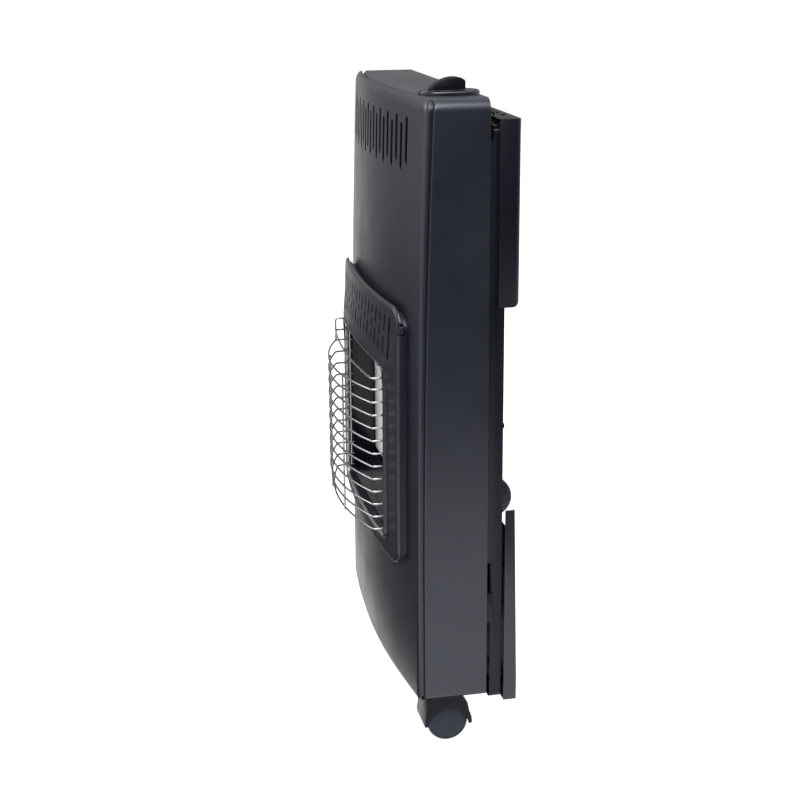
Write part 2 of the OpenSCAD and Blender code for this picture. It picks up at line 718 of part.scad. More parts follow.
module pan_side(inset) {
  r = 9 - inset;
  y0 = hood_y0 - inset;
  y1 = hood_y1 - inset;
  z0 = hood_z0 + inset;
  z1 = hood_axis_z - inset;
  translate([y0, z0 + r]) square([y1 - y0, z1 - z0 - r]);
  translate([y0, z0]) square([y1 - r - y0, r + 1]);
  translate([y1 - r, z0 + r]) circle(r);
}

module hood_hinge_pins() color([0.7, 0.7, 0.72]) at_frame() for (side = [-1, 1])
  translate([side * hood_hinge_x - 26.5, hood_axis_y, hood_axis_z]) rotate([0, 90, 0])
    cylinder(r = hood_pin_r, h = 53);

// Base tray, folded up: its floor faces the rear and its arms reach forward to the hinge
module base_tray() color([0.28, 0.29, 0.31]) at_frame() difference() {
  union() {
    for (side = [-1, 1]) translate([side * (half_w - sheet / 2), 0, 0]) along_x(-sheet / 2, sheet / 2) polygon([
      [tray_y0, tray_z0], [tray_y1, tray_z0], [tray_y1, tray_z0 + 26],
      [tray_y1 - tray_taper, tray_z1], [tray_y0, tray_z1]]);
    along_x(-half_w + sheet / 2, half_w - sheet / 2) tray_floor();
    block([-half_w + sheet / 2, tray_y0, tray_z0], [half_w - sheet / 2, tray_y1, tray_z0 + sheet]);
    for (side = [-1, 1]) {
      translate([side * arm_x, 0, 0]) along_x(-arm_t / 2, arm_t / 2) tray_arm();
      translate([side * web_x, 0, 0]) along_x(-web_t / 2, web_t / 2) tray_web();
    }
    for (side = [-1, 1], z = [tray_z0 + 25, tray_z0 + 157]) translate([side * (half_w - 1.6), tray_y0 + 4, z])
      rotate([0, 90, 0]) cylinder(r = 3, h = 2.6, center = true);
  }
  for (side = [-1, 1]) translate([side * (web_x + web_t / 2 + 2 + 55.5), 0, 0])
    block([-55.5, tray_y0 - 5, tray_notch_z], [55.5, tray_y1 + 5, tray_z1 + 5]);
  for (side = [-1, 1]) translate([side * arm_x - 10, tray_axis_y, tray_hinge_z]) rotate([0, 90, 0])
    cylinder(r = tray_pin_r + run, h = 20);
}

module tray_floor() polygon([
  [tray_y1 - sheet, tray_z0], [tray_y1, tray_z0], [tray_y1, tray_z0 + 26], [tray_y1 - tray_taper, tray_z1],
  [tray_y1 - tray_taper - sheet, tray_z1], [tray_y1 - sheet, tray_z0 + 26]]);

module tray_arm() {
  translate([tray_axis_y, tray_hinge_z]) circle(9);
  polygon([
    [tray_axis_y - 2.5, tray_hinge_z + 8], [tray_y0, tray_z0 + sheet], [tray_y1, tray_z0 + sheet],
    [tray_y1, tray_z0 - 4], [tray_axis_y + 5.5, tray_hinge_z - 7], [tray_axis_y - 2.5, tray_hinge_z - 7]]);
}

module tray_web() polygon([
  [crossbar_y0, rear_caster_z - crossbar_half], [crossbar_y0, rear_caster_z + crossbar_half],
  [crossbar_y1, rear_caster_z + crossbar_half], [crossbar_y1 + 25, rear_caster_z + 11],
  [tray_y1 - tray_taper - 0.5, tray_z1 - 2], [tray_y1 - tray_taper, tray_z1 - 50],
  [tray_y0 + 2, tray_z1 - 50], [tray_y0 - 1.5, tray_z1 - 14], [crossbar_y1, rear_caster_z - crossbar_half]]);

// Channel that carries the rear casters
module caster_crossbar() color([0.2, 0.21, 0.23]) at_frame() {
  half = rear_half + 24;
  z0 = rear_caster_z - crossbar_half;
  z1 = rear_caster_z + crossbar_half;
  difference() {
    block([-half, crossbar_y0, z0], [half, crossbar_y1, z1]);
    block([-half - 1, crossbar_y0 - 1, z0 + 1.5], [half + 1, crossbar_y1 - 2, z1 - 1.5]);
    for (side = [-1, 1]) translate([side * web_x, 0, 0])
      block([-web_t / 2 - seat, crossbar_y0 - 1, z0 - 1], [web_t / 2 + seat, crossbar_y1 + 1, z1 + 1]);
  }
}

module tray_hinge_brackets() color([0.2, 0.21, 0.23]) at_frame()
  for (side = [-1, 1]) translate([side * arm_x, 0, 0]) difference() {
    union() {
      block([-7, tray_axis_y - 12.5, body_bottom - 3], [7, body_rear - 1, body_bottom]);
      for (part = [-1, 1]) translate([part * 5, 0, 0]) along_x(-2, 2) polygon([
        [tray_axis_y - 12.5, body_bottom - 1], [tray_axis_y + 4, body_bottom - 1],
        [tray_axis_y + 4, frame_z0 - 1], [tray_axis_y + 8.5, tray_hinge_z + 7],
        [tray_axis_y + 8.5, tray_hinge_z - 8],
        [tray_axis_y - 9, tray_hinge_z - 8], [tray_axis_y - 12.5, frame_z0 - 1]]);
    }
    translate([-10, tray_axis_y, tray_hinge_z]) rotate([0, 90, 0]) cylinder(r = tray_pin_r + run, h = 20);
    block([-3, tray_axis_y - 13, tray_hinge_z - 20], [3, tray_axis_y + 20, body_bottom - 3]);
  }

module tray_hinge_pins() color([0.7, 0.7, 0.72]) at_frame() for (side = [-1, 1])
  translate([side * arm_x - 8.7, tray_axis_y, tray_hinge_z]) rotate([0, 90, 0]) {
    cylinder(r = tray_pin_r, h = 17.4);
    cylinder(r = tray_pin_r + 1.5, h = 1.5);
    translate([0, 0, 15.9]) cylinder(r = tray_pin_r + 1.5, h = 1.5);
  }

// Places a caster drawn below its mounting face, with its wheels trailing towards +Y
module caster_place(place) at_frame()
  if (place == 0) translate([-front_half, front_caster_y, body_bottom]) children();
  else if (place == 1) translate([front_half, front_caster_y, body_bottom]) children();
  else translate([(place == 2 ? -1 : 1) * rear_half, crossbar_y1, rear_caster_z])
    rotate([90, 0, 0]) rotate([0, 0, 180]) children();

module at_axle() translate([0, caster_trail, wheel_r - caster_h]) children();

// A cylinder along x, centred on the axle
module drum(r, x0, x1) at_axle() translate([x0, 0, 0]) rotate([0, 90, 0]) cylinder(r = r, h = x1 - x0);

// Side view of the hood, drawn in y and z below the mounting face
module caster_side() {
  axle_z = wheel_r - caster_h;
  intersection() {
    translate([caster_trail, axle_z]) circle(hood_r);
    translate([-30, axle_z - 3]) square([90, caster_h]);
  }
  polygon([[-8, -3.1], [30, -3.1], [38, -15], [caster_trail + hood_r - 0.5, axle_z],
    [caster_trail - hood_r + 0.5, axle_z], [-13.5, -18]]);
}

module caster_stem(place) color([0.7, 0.7, 0.72]) caster_place(place) {
  translate([0, 0, -2.5]) cylinder(r = 16, h = 2.5);
  translate([0, 0, -24]) cylinder(r = stem_r, h = 23);
}

module caster_hood(place) color([0.05, 0.05, 0.055]) caster_place(place) difference() {
  union() {
    along_x(-hood_half, hood_half) caster_side();
    translate([0, 0, -18]) cylinder(r = 12, h = 15 - seat);
    drum(12, -caster_web, caster_web);
  }
  for (side = [-1, 1]) translate([side * (caster_web + 8.7), 0, 0]) drum(wheel_r + 1.5, -8.7, 8.7);
  translate([0, 0, -8]) for (side = [-1, 1]) translate([side * 30, 0, 0]) drum(wheel_r + 1, -13, 13);
  translate([0, 0, -26]) cylinder(r = stem_r + run, h = 30);
  drum(axle_r + run, -30, 30);
}

module caster_axle(place) color([0.7, 0.7, 0.72]) caster_place(place)
  drum(axle_r, -caster_web - wheel_w + 3.5, caster_web + wheel_w - 3.5);

// A wheel with a rounded tread, a domed closed face and a blind bore
module caster_wheel(place, side) color([0.26, 0.27, 0.29]) caster_place(place) at_axle()
  translate([side * (caster_web + 0.5), 0, 0]) rotate([0, side * 90, 0]) rotate_extrude() {
    translate([axle_r + run, 0]) square([wheel_r - 3 - axle_r - run, wheel_w - 2]);
    translate([0, wheel_w - 3]) square([wheel_r - 3, 2]);
    translate([0, wheel_w - 1.2]) square([wheel_r - 8, 1.2]);
    translate([wheel_r - 3, 3]) square([3, wheel_w - 6]);
    for (z = [3, wheel_w - 4]) translate([wheel_r - 3, z]) circle(3);
  }

module caster_piece(place, piece) {
  if (piece == 0) caster_stem(place);
  if (piece == 1) caster_hood(place);
  if (piece == 2) caster_axle(place);
  if (piece == 3) caster_wheel(place, place % 2 == 0 ? -1 : 1);
  if (piece == 4) caster_wheel(place, place % 2 == 0 ? 1 : -1);
}

cabinet_shell();
front_panel();
base_plate();
heat_shield();
back_frame();
frame_cross_bars();
upper_back_panel();
lower_back_panel();
back_panel_screws();
burner_surround();
wire_guard();
reflector();
ceramic_plaques();
burner_left();
burner_middle();
burner_right();
gas_manifold();
injectors();
supply_pipe();
valve_bracket();
gas_valve_body();
valve_rotor();
valve_spindle();
spindle_spring();
control_knob();
knob_bezel();
inlet_nozzle();
inlet_pipe();
pilot_burner();
thermocouple();
ignition_electrode();
piezo_igniter();
rear_hood();
hood_hinge_pins();
base_tray();
tray_hinge_brackets();
tray_hinge_pins();
caster_crossbar();
for (place = [0:3], piece = [0:4])
  caster_piece(place, piece);
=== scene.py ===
import json
import math

import bmesh
import bpy
from mathutils import Matrix, Vector


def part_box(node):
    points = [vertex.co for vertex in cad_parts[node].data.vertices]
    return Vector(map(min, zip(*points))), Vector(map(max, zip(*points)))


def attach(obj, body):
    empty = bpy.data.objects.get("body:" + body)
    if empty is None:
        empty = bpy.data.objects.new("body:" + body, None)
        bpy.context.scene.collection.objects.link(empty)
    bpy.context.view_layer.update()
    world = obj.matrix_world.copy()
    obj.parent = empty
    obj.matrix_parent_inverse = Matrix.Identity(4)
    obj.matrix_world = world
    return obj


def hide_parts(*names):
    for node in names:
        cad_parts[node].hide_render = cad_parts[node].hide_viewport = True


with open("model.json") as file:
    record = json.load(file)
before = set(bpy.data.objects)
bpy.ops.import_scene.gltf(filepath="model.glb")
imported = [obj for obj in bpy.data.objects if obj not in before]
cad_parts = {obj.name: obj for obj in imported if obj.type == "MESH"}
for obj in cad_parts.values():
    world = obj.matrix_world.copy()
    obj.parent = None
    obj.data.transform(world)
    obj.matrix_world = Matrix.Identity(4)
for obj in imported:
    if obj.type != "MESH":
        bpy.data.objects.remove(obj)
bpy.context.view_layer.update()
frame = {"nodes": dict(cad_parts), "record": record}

# A folded portable gas heater on a plain pale floor.
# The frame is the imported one, with +Z up and the front towards -Y. Camera, lamps and studio are in metres.
# The sizes and points of the pieces are in millimetres, and link_mesh turns them into metres.

MM = 0.001
nodes = frame["nodes"]


def node_box(node):
    """A node's lowest and highest corners at rest, in millimetres."""
    low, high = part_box(node)
    return low / MM, high / MM


# Main sizes, read from the frame
shell_low, shell_high = node_box("cabinet_shell")
surround_low, surround_high = node_box("burner_surround")
HALF = shell_high.x
TOP = shell_high.z
BOTTOM = shell_low.z
REAR = shell_high.y
HALF_SIDE_DEPTH = 39.65
MID_Y = REAR - HALF_SIDE_DEPTH
SHEET = 1.2
CORNER_RADIUS = 14

# The front panel's face bows from side to side, more so towards the top, where it also leans back
BOW = 13.5
BOW_GROWTH = 6.5
PANEL_EDGE_Y = MID_Y - 44.85
LEAN_START = 200
LEAN_END = TOP - 10
LEAN_TOP = 12
TOP_ROLL = 4
TOP_ROLL_HEIGHT = 14

# The front panel's turned edge, and the groove between it and the shell
PANEL_DEPTH = 3.85
PANEL_BEND = 6.5
PANEL_LIP = 3.6
PANEL_FLANGE = 13
PANEL_FOOT_RADIUS = 3
GROOVE = 3.3

# The opening in front of the burners
OPENING_HALF = 128
OPENING_LOW = 245
OPENING_HIGH = 463
OPENING_RADIUS = 12

# The knob's place on the top, and the round well for its skirt
KNOB_X = 150
KNOB_Y = 4.35
WELL_RADIUS = 21.6
WELL_TOP = 9
WELL_SEGMENTS = 72


def at(x, y, z):
    """A point in millimetres, with y counted from the middle of the side panels."""
    return Vector((x, MID_Y + y, z))


def face_y(x, z):
    """The y of the front panel's face at x and z."""
    rise = max(z - LEAN_START, 0) / (LEAN_END - LEAN_START)
    bow = (BOW + BOW_GROWTH * rise) * (1 - (x / HALF) ** 2)
    roll = max(z - TOP + TOP_ROLL_HEIGHT, 0) / TOP_ROLL_HEIGHT
    return PANEL_EDGE_Y - bow + LEAN_TOP * rise ** 2 + TOP_ROLL * roll ** 2


# Material tools
COOL_TINT = (0.88, 0.92, 1, 1)


def new_material(name, color, roughness, metallic=0.0):
    """A material with its node tree and its shader."""
    material = bpy.data.materials.new(name)
    material.use_nodes = True
    shader = material.node_tree.nodes["Principled BSDF"]
    shader.inputs["Base Color"].default_value = (*color, 1)
    shader.inputs["Roughness"].default_value = roughness
    shader.inputs["Metallic"].default_value = metallic
    return material, material.node_tree, shader


def object_noise(tree, scale, detail):
    """A noise in the object's own coordinates, which are metres."""
    place = tree.nodes.new("ShaderNodeTexCoord")
    noise = tree.nodes.new("ShaderNodeTexNoise")
    noise.inputs["Scale"].default_value = scale
    noise.inputs["Detail"].default_value = detail
    tree.links.new(place.outputs["Object"], noise.inputs["Vector"])
    return noise


def vary_roughness(tree, shader, source, low, high):
    """Moves the roughness from low to high with a noise's factor."""
    spread = tree.nodes.new("ShaderNodeMapRange")
    spread.inputs["From Min"].default_value = 0.3
    spread.inputs["From Max"].default_value = 0.7
    spread.inputs["To Min"].default_value = low
    spread.inputs["To Max"].default_value = high
    tree.links.new(source.outputs[0], spread.inputs["Value"])
    tree.links.new(spread.outputs[0], shader.inputs["Roughness"])


def color_ramp(tree, source, first, second):
    """A ramp between two (position, color) stops, driven by a texture's output."""
    ramp = tree.nodes.new("ShaderNodeValToRGB")
    for stop, (position, color) in zip(ramp.color_ramp.elements, (first, second)):
        stop.position = position
        stop.color = (*color, 1)
    tree.links.new(source, ramp.inputs["Fac"])
    return ramp


def cloud_color(tree, shader, source, color, darkest, lightest):
    """Varies the base color between two factors of itself with a noise's factor."""
    dark = [value * darkest for value in color]
    light = [value * lightest for value in color]
    ramp = color_ramp(tree, source.outputs[0], (0.3, dark), (0.7, light))
    tree.links.new(ramp.outputs["Color"], shader.inputs["Base Color"])


def bump(tree, shader, source, distance, strength):
    """Raises the surface by a texture's first output, over a distance in metres."""
    node = tree.nodes.new("ShaderNodeBump")
    node.inputs["Distance"].default_value = distance
    node.inputs["Strength"].default_value = strength
    tree.links.new(source.outputs[0], node.inputs["Height"])
    tree.links.new(node.outputs["Normal"], shader.inputs["Normal"])


def cool_gloss(shader, level):
    """Sets how much the surface mirrors, with a slightly blue tint."""
    shader.inputs["Specular IOR Level"].default_value = level
    shader.inputs["Specular Tint"].default_value = COOL_TINT


# Materials
def powder_coat(name, color, roughness, gloss):
    """Satin powder coat: a fine orange-peel skin with a little variation in color and gloss."""
    material, tree, shader = new_material(name, color, roughness)
    cool_gloss(shader, gloss)
    skin = object_noise(tree, scale=1400, detail=3)
    cloud = object_noise(tree, scale=14, detail=4)
    cloud_color(tree, shader, cloud, color, darkest=0.93, lightest=1.07)
    vary_roughness(tree, shader, cloud, roughness - 0.03, roughness + 0.05)
    bump(tree, shader, skin, distance=0.00012, strength=0.5)
    return material


def plain_metal(name, color, roughness):
    """Bare or plated metal with a fine grain."""
    material, tree, shader = new_material(name, color, roughness, metallic=1.0)
    grain = object_noise(tree, scale=260, detail=6)
    vary_roughness(tree, shader, grain, roughness - 0.06, roughness + 0.1)
    cloud_color(tree, shader, grain, color, darkest=0.88, lightest=1)
    bump(tree, shader, grain, distance=0.00005, strength=0.4)
    return material


def moulded_plastic(name, color, roughness, gloss):
    """Plastic with the fine grain of its mould."""
    material, tree, shader = new_material(name, color, roughness)
    cool_gloss(shader, gloss)
    grain = object_noise(tree, scale=2200, detail=2)
    cloud = object_noise(tree, scale=30, detail=3)
    cloud_color(tree, shader, cloud, color, darkest=0.9, lightest=1.1)
    vary_roughness(tree, shader, cloud, roughness - 0.03, roughness + 0.04)
    bump(tree, shader, grain, distance=0.00006, strength=0.4)
    return material


def enamel(name, color):
    """Gloss black enamel with a faint ripple under a thin coat."""
    material, tree, shader = new_material(name, color, roughness=0.16)
    ripple = object_noise(tree, scale=90, detail=2)
    vary_roughness(tree, shader, ripple, 0.12, 0.2)
    shader.inputs["Coat Weight"].default_value = 0.2
    shader.inputs["Coat Roughness"].default_value = 0.05
    bump(tree, shader, ripple, distance=0.0003, strength=0.25)
    return material


def chrome(name, color):
    """Chrome plating, a little dulled by heat."""
    material, tree, shader = new_material(name, color, roughness=0.22, metallic=1.0)
    wear = object_noise(tree, scale=300, detail=4)
    vary_roughness(tree, shader, wear, 0.16, 0.3)
    return material


def pierced_ceramic(name, color, painted_hole_shade):
    """Pale ceramic with rows of small burner holes, which are not cut but painted dark as their shade, with
    a slight bump.
    """
    material, tree, shader = new_material(name, color, roughness=0.85)
    place = tree.nodes.new("ShaderNodeTexCoord")
    holes = tree.nodes.new("ShaderNodeTexVoronoi")
    holes.inputs["Scale"].default_value = 420
    holes.inputs["Randomness"].default_value = 0.0
    tree.links.new(place.outputs["Object"], holes.inputs["Vector"])
    # The hole spots take the painted shade colour, and the rest takes the pale ceramic colour.
    ramp = color_ramp(tree, holes.outputs["Distance"], (0.25, painted_hole_shade), (0.36, color))
    tree.links.new(ramp.outputs["Color"], shader.inputs["Base Color"])
    bump(tree, shader, ramp, distance=0.0005, strength=0.6)
    return material


MATERIALS = {
    "charcoal_powder_coat": powder_coat("charcoal_powder_coat", (0.0105, 0.0118, 0.0185), 0.34, gloss=0.5),
    "dark_powder_coat": powder_coat("dark_powder_coat", (0.004, 0.0045, 0.0078), 0.4, gloss=0.22),
    "black_enamel": enamel("black_enamel", (0.007, 0.008, 0.013)),
    "guard_chrome": chrome("guard_chrome", (0.4, 0.41, 0.43)),
    # The plaques' second colour is the painted shade inside their burner holes.
    "plaque_ceramic": pierced_ceramic("plaque_ceramic", (0.8, 0.8, 0.785), (0.2, 0.19, 0.18)),
    "bare_steel": plain_metal("bare_steel", (0.5, 0.5, 0.51), 0.4),
    "zinc_steel": plain_metal("zinc_steel", (0.6, 0.61, 0.63), 0.3),
    "gas_brass": plain_metal("gas_brass", (0.72, 0.56, 0.28), 0.3),
    "black_plastic": moulded_plastic("black_plastic", (0.003, 0.003, 0.0045), 0.38, gloss=0.15),
    "bezel_plastic": moulded_plastic("bezel_plastic", (0.006, 0.0065, 0.01), 0.28, gloss=0.4),
    "wheel_plastic": moulded_plastic("wheel_plastic", (0.017, 0.02, 0.033), 0.42, gloss=0.25),
}

slots_of_nodes = {part["node"]: part["material_slot"] for part in frame["record"]["subparts"]}
for node_name, node_object in nodes.items():
    node_object.data.materials.clear()
    node_object.data.materials.append(MATERIALS[slots_of_nodes[node_name]])


# Camera, at the photograph's viewing angle
IMAGE_SIZE = 800
LENS_IN_PIXELS = 1560
LENS_CENTRE_X = 417.4
CAMERA_YAW = math.radians(77.43)
CAMERA_PITCH = math.radians(16.45)
CAMERA_ROLL = math.radians(-0.28)
CAMERA_DISTANCE = 1.999
CAMERA_TARGET = Vector((0, (MID_Y + 2.35) * MM, 379.9 * MM))


def link(thing):
    """Adds an object to the scene."""
    bpy.context.scene.collection.objects.link(thing)


def make_camera():
    level = math.cos(CAMERA_PITCH)
    forward = Vector((-math.sin(CAMERA_YAW) * level, math.cos(CAMERA_YAW) * level, -math.sin(CAMERA_PITCH)))
    right = Vector((math.cos(CAMERA_YAW), math.sin(CAMERA_YAW), 0))
    up = right.cross(forward)
    right_rolled = math.cos(CAMERA_ROLL) * right + math.sin(CAMERA_ROLL) * up
    up_rolled = -math.sin(CAMERA_ROLL) * right + math.cos(CAMERA_ROLL) * up
    turn = Matrix((right_rolled, up_rolled, -forward)).transposed().to_4x4()
    data = bpy.data.cameras.new("photo_camera")
    data.sensor_width = 36
    data.lens = data.sensor_width * LENS_IN_PIXELS / IMAGE_SIZE
    data.shift_x = -(LENS_CENTRE_X - IMAGE_SIZE / 2) / IMAGE_SIZE
    camera = bpy.data.objects.new("photo_camera", data)
    camera.matrix_world = Matrix.Translation(CAMERA_TARGET - forward * CAMERA_DISTANCE) @ turn
    link(camera)
    bpy.context.scene.camera = camera


# Studio
WORLD_LIGHT = 0.45
FLOOR_REACH = 6.0
FLOOR_GLOW = 0.9
CARD_HEIGHT = 0.02


def seen_rays(tree):
    """1 for rays from the camera, straight or by way of gloss or glass, and 0 for light on surfaces."""
    path = tree.nodes.new("ShaderNodeLightPath")
    source = path.outputs["Is Camera Ray"]
    for ray in ("Is Glossy Ray", "Is Transmission Ray"):
        either = tree.nodes.new("ShaderNodeMath")
        either.operation = "MAXIMUM"
        tree.links.new(source, either.inputs[0])
        tree.links.new(path.outputs[ray], either.inputs[1])
        source = either.outputs[0]
    return source


def seen_mix(tree, unseen, seen, out):
    """Sends one shader out to light the surfaces, and another to the rays that are seen."""
    mix = tree.nodes.new("ShaderNodeMixShader")
    tree.links.new(seen_rays(tree), mix.inputs["Fac"])
    tree.links.new(unseen.outputs[0], mix.inputs[1])
    tree.links.new(seen.outputs[0], mix.inputs[2])
    tree.links.new(mix.outputs[0], out.inputs["Surface"])


def white_background(tree, strength):
    background = tree.nodes.new("ShaderNodeBackground")
    background.inputs["Color"].default_value = (1, 1, 1, 1)
    background.inputs["Strength"].default_value = strength
    return background


def make_world():
    """An even pale studio, which is seen as white."""
    world = bpy.data.worlds.new("studio")
    bpy.context.scene.world = world
    world.use_nodes = True
    tree = world.node_tree
    tree.nodes.clear()
    out = tree.nodes.new("ShaderNodeOutputWorld")
    seen_mix(tree, white_background(tree, WORLD_LIGHT), white_background(tree, 1.0), out)


def stage_face(name, corners, material):
    """One flat face of the studio, from corners in metres, which isn't part of the heater."""
    mesh = bpy.data.meshes.new(name)
    mesh.from_pydata(corners, [], [range(len(corners))])
    mesh.materials.append(material)
    face = bpy.data.objects.new(name, mesh)
    link(face)
    return face


def make_floor():
    """A plain pale floor that fades into the background and keeps the object's shadow."""
    material, tree, shader = new_material("floor", (0.9, 0.9, 0.9), roughness=0.9)
    glow = tree.nodes.new("ShaderNodeEmission")
    glow.inputs["Strength"].default_value = FLOOR_GLOW
    glowing = tree.nodes.new("ShaderNodeAddShader")
    tree.links.new(shader.outputs[0], glowing.inputs[0])
    tree.links.new(glow.outputs[0], glowing.inputs[1])
    seen_mix(tree, shader, glowing, tree.nodes["Material Output"])
    near = -FLOOR_REACH
    far = FLOOR_REACH
    stage_face("floor", [(near, near, 0), (far, near, 0), (far, far, 0), (near, far, 0)], material)


def area_light(name, place, aim, size, power):
    data = bpy.data.lights.new(name, "AREA")
    data.shape = "RECTANGLE"
    data.size, data.size_y = size
    data.energy = power
    lamp = bpy.data.objects.new(name, data)
    lamp.location = place
    lamp.rotation_euler = (Vector(aim) - Vector(place)).to_track_quat("-Z", "Y").to_euler()
    link(lamp)


def grey_card(name, corners, shade):
    """A plain grey card that only glossy surfaces mirror, as the darker parts of a studio."""
    material = bpy.data.materials.new(name)
    material.use_nodes = True
    tree = material.node_tree
    tree.nodes.clear()
    glow = tree.nodes.new("ShaderNodeEmission")
    glow.inputs["Color"].default_value = (shade, shade, shade, 1)
    out = tree.nodes.new("ShaderNodeOutputMaterial")
    tree.links.new(glow.outputs[0], out.inputs["Surface"])
    card = stage_face(name, corners, material)
    card.visible_camera = False
    card.visible_diffuse = False
    card.visible_shadow = False
    card.visible_transmission = False


def floor_card(name, outline, shade):
    grey_card(name, [(x, y, CARD_HEIGHT) for x, y in outline], shade)


def wall_card(name, x, y_ends, z_ends, shade):
    near, far = y_ends
    low, high = z_ends
    grey_card(name, [(x, near, low), (x, far, low), (x, far, high), (x, near, high)], shade)


def make_studio():
    make_world()
    make_floor()
    area_light("front_softbox", (-1.2, -2.2, 1.8), aim=(0, 0, 0.4), size=(1.4, 1.4), power=26)
    area_light("floor_softbox", (0.8, -0.2, 1.4), aim=(0.7, -0.15, 0), size=(0.7, 0.9), power=18)
    floor_card("side_card", [(1.1, -2.5), (3.4, -2.5), (3.4, 3.5), (1.1, 3.5)], shade=0.0)
    wall_card("side_wall", 3.4, (-2.5, 3.5), (CARD_HEIGHT, 2.4), shade=0.0)
    floor_card("front_card", [(-3, -2.5), (0, -2.5), (0.25, -0.07), (-1, -0.12), (-3, -0.45)], shade=0.1)
    wall_card("front_wall", -3.0, (-3.0, -0.4), (CARD_HEIGHT, 2.2), shade=0.3)
    wall_card("upper_wall", -3.0, (-0.3, 2.5), (1.0, 2.6), shade=0.3)


# Mesh tools
MERGE_DISTANCE = 1e-6
SMALLEST_RADIUS = 0.2
POLE_RADIUS = 0.01
SHARP_ANGLE = 35
HALF_CORNER_STEPS = 4
BEND_STEPS = 6


def soften(piece, sharp_angle):
    """Shades a piece smooth, but for edges sharper than an angle in degrees."""
    piece.data.shade_smooth()
    piece.data.set_sharp_from_angle(angle=math.radians(sharp_angle))


def link_mesh(name, points, faces, material, sharp_angle=SHARP_ANGLE):
    """A new object from points in millimetres, and faces that are turned to look outwards."""
    mesh = bpy.data.meshes.new(name)
    mesh.from_pydata([tuple(value * MM for value in point) for point in points], [], faces)
    edit = bmesh.new()
    edit.from_mesh(mesh)
    bmesh.ops.remove_doubles(edit, verts=edit.verts, dist=MERGE_DISTANCE)
    bmesh.ops.recalc_face_normals(edit, faces=edit.faces)
    edit.to_mesh(mesh)
    edit.free()
    mesh.materials.append(MATERIALS[material])
    piece = bpy.data.objects.new(name, mesh)
    link(piece)
    soften(piece, sharp_angle)
    return piece


def apply_modifiers(piece):
    """Replaces the piece's mesh by what its modifiers make of it."""
    bpy.context.view_layer.update()
    evaluated = piece.evaluated_get(bpy.context.evaluated_depsgraph_get())
    mesh = bpy.data.meshes.new_from_object(evaluated)
    old = piece.data
    piece.modifiers.clear()
    piece.data = mesh
    bpy.data.meshes.remove(old)


def thicken(piece, thickness):
    """Gives a skin a thickness, on its inner side."""
    solid = piece.modifiers.new("thickness", "SOLIDIFY")
    solid.thickness = thickness * MM
    solid.offset = -1
    solid.use_even_offset = True
    apply_modifiers(piece)


def round_edges(piece, width):
    """Rounds the sharp edges of a piece."""
    bevel = piece.modifiers.new("edges", "BEVEL")
    bevel.width = width * MM
    bevel.segments = 2
    bevel.limit_method = "ANGLE"
    bevel.angle_limit = math.radians(SHARP_ANGLE)
    apply_modifiers(piece)


def combine(piece, cutter, operation):
    """Cuts, joins or intersects a piece with another, which is then removed."""
    change = piece.modifiers.new("combine", "BOOLEAN")
    change.operation = operation
    change.solver = "EXACT"
    change.object = cutter
    apply_modifiers(piece)
    bpy.data.objects.remove(cutter)


def bend_mesh(piece, place):
    """Moves each point of the mesh to where a function puts it, both in millimetres."""
    for vertex in piece.data.vertices:
        vertex.co = place(vertex.co / MM) * MM
    piece.data.update()


def join(pieces, name):
    """Joins pieces into one object."""
    with bpy.context.temp_override(active_object=pieces[0], selected_editable_objects=pieces,
                                   selected_objects=pieces):
        bpy.ops.object.join()
    pieces[0].name = name
    pieces[0].data.name = name
    return pieces[0]


def finish_piece(piece, slot, body, *replaced):
    """Attaches a piece to its body and hides the CAD nodes that it stands for. The slot argument is not
    used.
    """
    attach(piece, body)
    if replaced:
        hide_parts(*replaced)


def skin(rings, closed=True):
    """The points of rings of equal length, and the faces between each ring and the next."""
    count = len(rings[0])
    points = [point for ring in rings for point in ring]
    steps = count if closed else count - 1
    faces = []
    for start in range(0, len(points) - count, count):
        for i in range(steps):
            after = (i + 1) % count
            faces.append((start + i, start + after, start + count + after, start + count + i))
    return points, faces


def loft(name, rings, material, closed=True, caps=True, sharp_angle=SHARP_ANGLE):
    """A skin through rings. Closed rings are loops, and caps close the two ends."""
    points, faces = skin(rings, closed)
    if caps:
        count = len(rings[0])
        faces.append(tuple(range(count)))
        faces.append(tuple(range(len(points) - count, len(points))))
    return link_mesh(name, points, faces, material, sharp_angle)


def prism(name, outline, front, back, material):
    """An outline of x and z points, extruded from a front y to a back y."""
    rings = [[(x, y, z) for x, z in outline] for y in (front, back)]
    return loft(name, rings, material)


def block(name, low, high, material):
    """A box between its lowest and its highest corner."""
    outline = [(low[0], low[1]), (high[0], low[1]), (high[0], high[1]), (low[0], high[1])]
    rings = [[(x, y, z) for x, y in outline] for z in (low[2], high[2])]
    return loft(name, rings, material)


def lathe(name, profile, material, segments, place, sharp_angle=SHARP_ANGLE):
    """A profile of (radius, height) pairs turned about Z and moved into place. A zero radius is a pole."""
    turns = [2 * math.pi * i / segments for i in range(segments)]
    rings = []
    for radius, height in profile:
        reach = max(radius, POLE_RADIUS)
        ring = [Vector((reach * math.cos(turn), reach * math.sin(turn), height)) for turn in turns]
        rings.append([place @ point for point in ring])
    return loft(name, rings, material, sharp_angle=sharp_angle)


def tube(name, path, radius, material):
    """A round bar along a path of points, closed at both ends."""
    sides = 10
    turns = [2 * math.pi * i / sides for i in range(sides)]
    normal = (path[1] - path[0]).orthogonal().normalized()
    rings = []
    for i, point in enumerate(path):
        ahead = (path[min(i + 1, len(path) - 1)] - path[max(i - 1, 0)]).normalized()
        normal = (normal - ahead * normal.dot(ahead)).normalized()
        side = ahead.cross(normal)
        rings.append([point + radius * (math.cos(turn) * normal + math.sin(turn) * side) for turn in turns])
    return loft(name, rings, material, sharp_angle=50)


